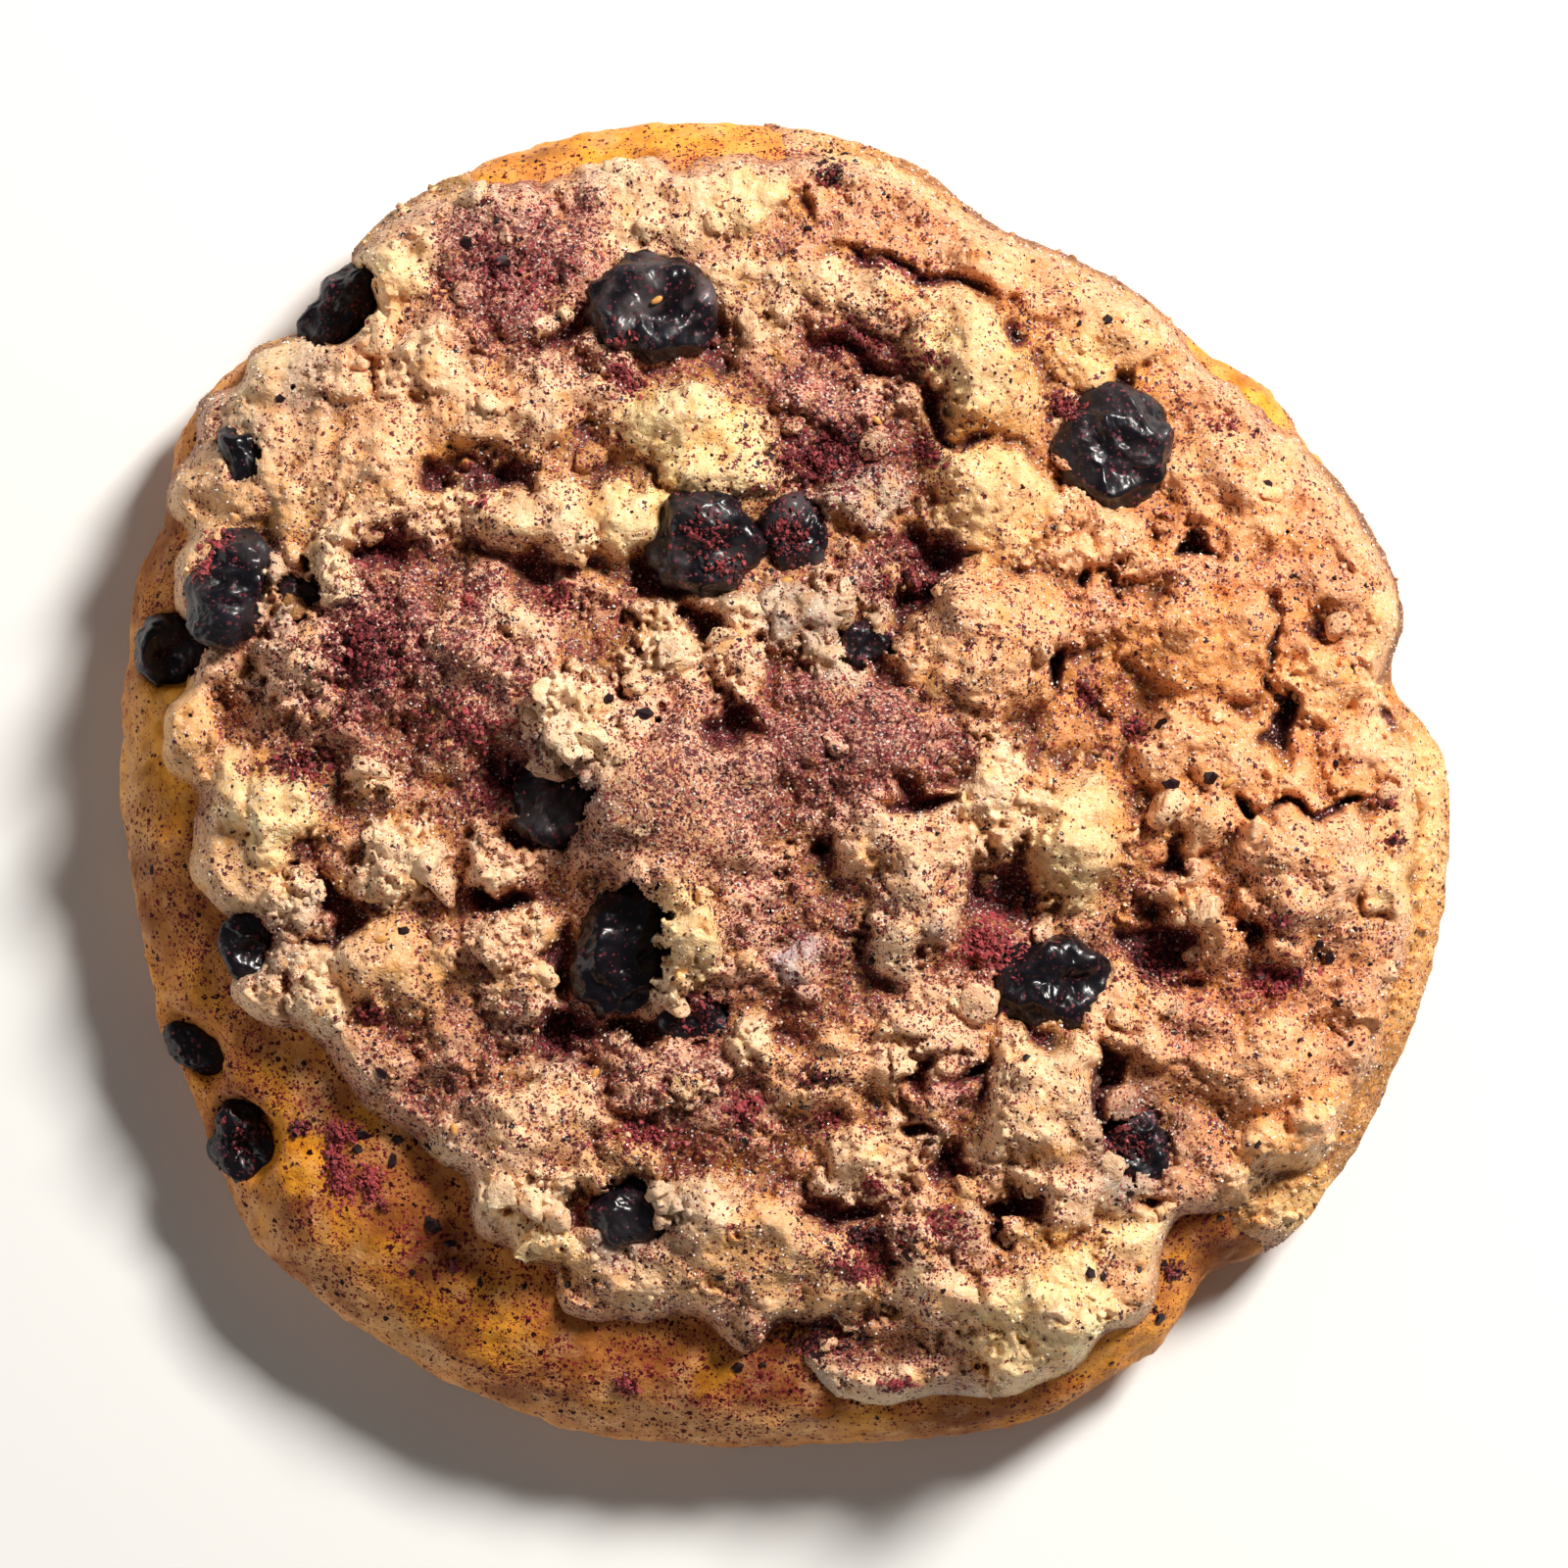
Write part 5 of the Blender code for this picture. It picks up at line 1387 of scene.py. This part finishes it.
def cap_quarter(name, right, over):
    """One quarter of the cap. It reaches a few rows under its neighbours, sinking as it goes."""
    cell = looks().crumb_mesh / MM
    fields = cap_fields(cell)
    half = fields["height"].shape[0] // 2
    side = half + OVERLAP_ROWS
    clear = half - OVERLAP_ROWS
    middle = Vector((right * clear, over * clear, 0)) * (cell / 2)
    build = bmesh.new()
    bmesh.ops.create_grid(build, x_segments=side, y_segments=side, size=side * cell * MM / 2)
    bmesh.ops.translate(build, verts=build.verts, vec=middle * MM)
    bare = []
    for vertex in build.verts:
        column = round(vertex.co.x / MM / cell)
        row = round(vertex.co.y / MM / cell)
        past = max(0, -right * column, -over * row)
        height = fields["height"][row + half, column + half] - SINK[past]
        vertex.co.z = height * MM
        if fields["kept"][row + half, column + half] < 0.004:
            bare.append(vertex)
    bmesh.ops.delete(build, geom=bare, context="VERTS")
    drop_pinched(build)
    rim = [edge for edge in build.edges if edge.is_boundary]
    skirt = bmesh.ops.extrude_edge_only(build, edges=rim)["geom"]
    cut = (OVERLAP_ROWS - 0.5) * cell * MM
    for vertex in skirt:
        if isinstance(vertex, bmesh.types.BMVert):
            at_cut = -right * vertex.co.x > cut or -over * vertex.co.y > cut
            low = CUT_LEVEL * MM
            vertex.co.z = low if at_cut else max(vertex.co.z - 1.5 * MM, low)
    under = [edge for edge in skirt if isinstance(edge, bmesh.types.BMEdge)]
    bmesh.ops.triangle_fill(build, edges=under, normal=-UP)
    bmesh.ops.recalc_face_normals(build, faces=build.faces)
    mesh = bpy.data.meshes.new(name)
    build.to_mesh(mesh)
    build.free()
    points = points_of(mesh)
    move_points(mesh, points)
    column = np.rint(points[:, 0] / cell).astype(int) + half
    row = np.rint(points[:, 1] / cell).astype(int) + half
    keep_colour(mesh, "tones", fields["colour"][row, column])
    keep_colour(mesh, "marks", fields["marks"][row, column])
    return add_piece(name, mesh)


def drop_pinched(build):
    """Removes loose points, and those where two parts of a sheet touch at a corner."""
    while True:
        pinched = [
            vertex
            for vertex in build.verts
            if not vertex.link_faces
            or sum(edge.is_boundary for edge in vertex.link_edges) > 2
        ]
        if not pinched:
            return
        bmesh.ops.delete(build, geom=pinched, context="VERTS")


class COOKIE_OT_berries(bpy.types.Operator):
    """Makes the baked berries"""

    bl_idname = "cookie.berries"
    bl_label = "Berries"

    def execute(self, context):
        material = berry_material()
        for index, node in enumerate(BERRIES):
            grow, dent, powder, grey, tear, low = BERRY_LOOKS[index]
            piece = node_copy(node, f"{node}_skin")
            add_rounding(piece, 3)
            settle_modifiers(piece)
            mesh = piece.data
            points = points_of(mesh)
            normals = normals_of(mesh)
            centre = points.mean(axis=0)
            half = np.ptp(points, axis=0) / 2
            points = centre + (points - centre) * (grow, grow, 1.0)
            turn = Matrix.Rotation(index * 1.3, 3, "Z")
            folded = (points - centre) @ np.array(turn) * (1.0, 0.5, 0.8)
            folds = 1 - 3.0 * np.abs(waves(folded, 1.7, 40 + index, 1))
            fine = 1 - 3.0 * np.abs(waves(folded, 0.7, 60 + index, 2))
            dents = waves(points, 3.0, 80 + index, 2)
            lift = 0.2 * folds + 0.09 * fine + 0.85 * dents
            out = (points - centre) / half
            off = np.hypot(out[:, 0] - 0.15, out[:, 1] + 0.1)
            crown = np.exp(-((off / 0.62) ** 2)) * np.clip(out[:, 2] * 2, 0, 1)
            points += normals * lift[:, None]
            points[:, 2] -= dent * crown + low
            move_points(mesh, points)
            bloom = np.clip(folds, 0, 1) * grey
            dust = np.clip(powder * (0.7 + 1.4 * waves(points, 1.8, 110 + index)), 0, 1)
            torn = tear * np.clip(2 * waves(points, 3.0, 130 + index), 0, 1) * (out[:, 2] > 0)
            keep_colour(mesh, "marks", np.stack([dust, bloom, torn], axis=1))
            finish_piece(piece, material, (node,))
        return {"FINISHED"}


class COOKIE_OT_crumbs(bpy.types.Operator):
    """Spreads loose crumbs over the crumb cap"""

    bl_idname = "cookie.crumbs"
    bl_label = "Loose crumbs"

    def execute(self, context):
        look = looks()
        random = np.random.default_rng(look.seed)
        material = bpy.data.materials["baked crumb"]

        def weight(marks):
            return (0.06 + marks[..., 1] ** 2) * (1 - 0.6 * marks[..., 2])

        balls = [rough_ball(1, 0.75, seed) for seed in range(1, 9)]
        broken = [broken_ball(seed) for seed in range(1, 13)]
        for name, shapes, count, least, most, depth in (
            ("fine_crumbs", balls, look.fine_crumbs, 0.10, 0.3, 0.05),
            ("coarse_crumbs", broken, look.coarse_crumbs, 0.4, 1.9, 0.35),
        ):
            spots, normals, tones, marks = cap_samples(weight, count, random)
            size = least + (most - least) * random.uniform(size=count) ** 3.0
            sizes = size[:, None] * random.uniform(0.65, 1.35, (count, 3))
            centres = spots - normals * (size * depth)[:, None]
            tint = random.normal(1.0, 0.06, (count, 1))
            colours = mixed(tones, look.pale, random.uniform(0, 0.6, count)) * tint
            marks = marks * (0.7, 1.0, 0.0)
            piece = joined_bits(
                name, shapes, centres, turned(normals, random), sizes, colours, random, marks
            )
            finish_piece(piece, material)
        return {"FINISHED"}


class COOKIE_OT_flakes(bpy.types.Operator):
    """Heaps dried berry flakes and spreads dark specks"""

    bl_idname = "cookie.flakes"
    bl_label = "Berry flakes"

    def execute(self, context):
        look = looks()
        random = np.random.default_rng(look.seed + 1)
        ground = Ground()
        material = loose_material("dried berry flakes", 0.5)
        spots, normals, shades, sizes = [], [], [], []
        for x, y, length, width, turn, count, bright in HEAPS:
            cos, sin = math.cos(math.radians(turn)), math.sin(math.radians(turn))
            for along, over in random.normal(0, 0.5, (count, 2)):
                px = x + along * length * cos - over * width * sin
                py = y + along * length * sin + over * width * cos
                hit, normal = ground.under(px, py)
                if hit is None:
                    continue
                heap = 0.55 * math.exp(-(along**2 + over**2) * 2) * random.uniform(-0.2, 1)
                spots.append(hit + UP * heap)
                lean = normal + Vector(random.normal(0, 0.7, 3))
                normals.append(lean.normalized())
                shades.append(np.clip(random.normal(bright, 0.28), 0, 1))
                sizes.append(0.08 + 0.24 * random.uniform() ** 2.5)
        for x, y, half in CHIPS:
            hit, normal = ground.under(x, y)
            if hit is None:
                continue
            spots.append(hit + UP * 0.1)
            normals.append((normal + Vector(random.normal(0, 0.2, 3))).normalized())
            shades.append(0.0)
            sizes.append(half)
        count = len(spots)
        grown = np.array(sizes)[:, None] * random.uniform(0.6, 1.3, (count, 3))
        piece = joined_bits(
            "berry_flakes",
            [chip(seed, 0.45, 5) for seed in range(1, 9)],
            np.array(spots),
            turned(normals, random),
            grown,
            mixed(FLAKE_DARK, FLAKE_LIGHT, np.array(shades)),
            random,
        )
        finish_piece(piece, material, smooth=False)
        count = look.specks

        def weight(marks):
            return 0.12 + marks[..., 0] ** 1.5

        spots, normals, _, _ = cap_samples(weight, count, random)
        size = 0.05 + 0.15 * random.uniform(size=count) ** 3
        grown = size[:, None] * random.uniform(0.6, 1.5, (count, 3))
        shades = np.clip(random.normal(0.22, 0.28, count), 0, 1)
        piece = joined_bits(
            "berry_specks",
            [chip(seed, 0.7, 4) for seed in range(11, 17)],
            spots,
            turned(normals, random),
            grown,
            mixed(FLAKE_DARK, FLAKE_LIGHT, shades),
            random,
        )
        finish_piece(piece, material, smooth=False)
        return {"FINISHED"}


class COOKIE_OT_sugar(bpy.types.Operator):
    """Spreads clear sugar grains and a few seeds"""

    bl_idname = "cookie.sugar"
    bl_label = "Sugar and seeds"

    def execute(self, context):
        look = looks()
        random = np.random.default_rng(look.seed + 2)
        build = bmesh.new()
        bmesh.ops.create_cube(build, size=1.6)
        grain = shape_of(build)
        count = look.sugar_grains
        spots, normals, _, _ = cap_samples(lambda marks: 1.0, count, random)
        size = 0.04 + 0.06 * random.uniform(size=count)
        grown = size[:, None] * random.uniform(0.7, 1.3, (count, 3))
        lean = normals + random.normal(0, 0.8, (count, 3))
        lean /= np.linalg.norm(lean, axis=1)[:, None]
        clear, tinted = np.array((0.98, 0.94, 0.90)), np.array((0.90, 0.66, 0.50))
        piece = joined_bits(
            "sugar_grains",
            [grain],
            spots + normals * 0.03,
            turned(lean, random),
            grown,
            mixed(clear, tinted, random.uniform(size=count)),
            random,
        )
        finish_piece(piece, loose_material("sugar grain", 0.15), smooth=False)
        ground = Ground()
        spots = [ground.under(x, y)[0] + UP * 0.12 for x, y, _ in SEEDS]
        turns = [Matrix.Rotation(math.radians(turn), 3, "Z") for _, _, turn in SEEDS]
        count = len(spots)
        piece = joined_bits(
            "berry_seeds",
            [rough_ball(3, 0.1, 3, (1.0, 0.5, 0.4))],
            np.array(spots),
            np.array(turns),
            np.full((count, 3), 0.5),
            np.tile((0.76, 0.38, 0.10), (count, 1)),
            random,
        )
        finish_piece(piece, loose_material("seed", 0.35))
        return {"FINISHED"}


class COOKIE_OT_stage(bpy.types.Operator):
    """Sets the floor, the lights and the camera"""

    bl_idname = "cookie.stage"
    bl_label = "Stage"

    def execute(self, context):
        scene = context.scene
        build = bmesh.new()
        bmesh.ops.create_grid(build, x_segments=1, y_segments=1, size=1.5)
        mesh = bpy.data.meshes.new("floor")
        build.to_mesh(mesh)
        build.free()
        floor = bpy.data.objects.new("floor", mesh)
        scene.collection.objects.link(floor)
        material, shader = new_material("pale floor")
        shader.inputs["Base Color"].default_value = (0.92, 0.92, 0.91, 1.0)
        shader.inputs["Roughness"].default_value = 0.9
        mesh.materials.append(material)
        world = bpy.data.worlds.new("studio")
        world.use_nodes = True
        sky = world.node_tree.nodes["Background"]
        sky.inputs["Color"].default_value = (1.0, 0.99, 0.97, 1.0)
        sky.inputs["Strength"].default_value = 0.075
        scene.world = world
        for light in LIGHTS:
            add_light(*light)
        camera = bpy.data.cameras.new("camera")
        eye = bpy.data.objects.new("camera", camera)
        scene.collection.objects.link(eye)
        camera.sensor_width = SENSOR
        camera.lens = SENSOR * (EYE - SUBJECT) / FRAME_WIDTH
        camera.clip_start = 0.01
        eye.location = (0.1 * MM, 0.04 * MM, EYE)
        scene.camera = eye
        scene.view_settings.view_transform = "Standard"
        return {"FINISHED"}


def add_light(name, azimuth, elevation, distance, size, power, colour):
    """Adds a square soft light that looks at the cookie from one side."""
    light = bpy.data.lights.new(name, "AREA")
    light.size = size
    light.energy = power
    light.color = colour
    holder = bpy.data.objects.new(name, light)
    bpy.context.scene.collection.objects.link(holder)
    turn, rise = math.radians(azimuth), math.radians(elevation)
    flat = math.cos(rise)
    aim = Vector((math.cos(turn) * flat, math.sin(turn) * flat, math.sin(rise)))
    holder.location = aim * distance
    holder.rotation_euler = aim.to_track_quat("Z", "Y").to_euler()


STEPS = (
    ("cookie.dough", "Dough"),
    ("cookie.streusel", "Streusel"),
    ("cookie.berries", "Berries"),
    ("cookie.crumbs", "Loose crumbs"),
    ("cookie.flakes", "Berry flakes"),
    ("cookie.sugar", "Sugar and seeds"),
    ("cookie.stage", "Stage"),
)


class COOKIE_PT_panel(bpy.types.Panel):
    """Sidebar panel with the cookie's sizes, colours and steps"""

    bl_label = "Streusel cookie"
    bl_space_type = "VIEW_3D"
    bl_region_type = "UI"
    bl_category = "Cookie"

    def draw(self, context):
        for name in CookieLooks.__annotations__:
            self.layout.prop(context.scene.cookie_looks, name)
        for operator, label in STEPS:
            self.layout.operator(operator, text=label)


CLASSES = (
    CookieLooks,
    COOKIE_OT_dough,
    COOKIE_OT_streusel,
    COOKIE_OT_berries,
    COOKIE_OT_crumbs,
    COOKIE_OT_flakes,
    COOKIE_OT_sugar,
    COOKIE_OT_stage,
    COOKIE_PT_panel,
)


def register():
    for item in CLASSES:
        bpy.utils.register_class(item)
    bpy.types.Scene.cookie_looks = PointerProperty(type=CookieLooks)


def unregister():
    del bpy.types.Scene.cookie_looks
    for item in reversed(CLASSES):
        bpy.utils.unregister_class(item)


def main():
    register()
    bpy.ops.cookie.dough()
    bpy.ops.cookie.streusel()
    bpy.ops.cookie.berries()
    bpy.ops.cookie.crumbs()
    bpy.ops.cookie.flakes()
    bpy.ops.cookie.sugar()
    bpy.ops.cookie.stage()


if __name__ == "__main__":
    main()
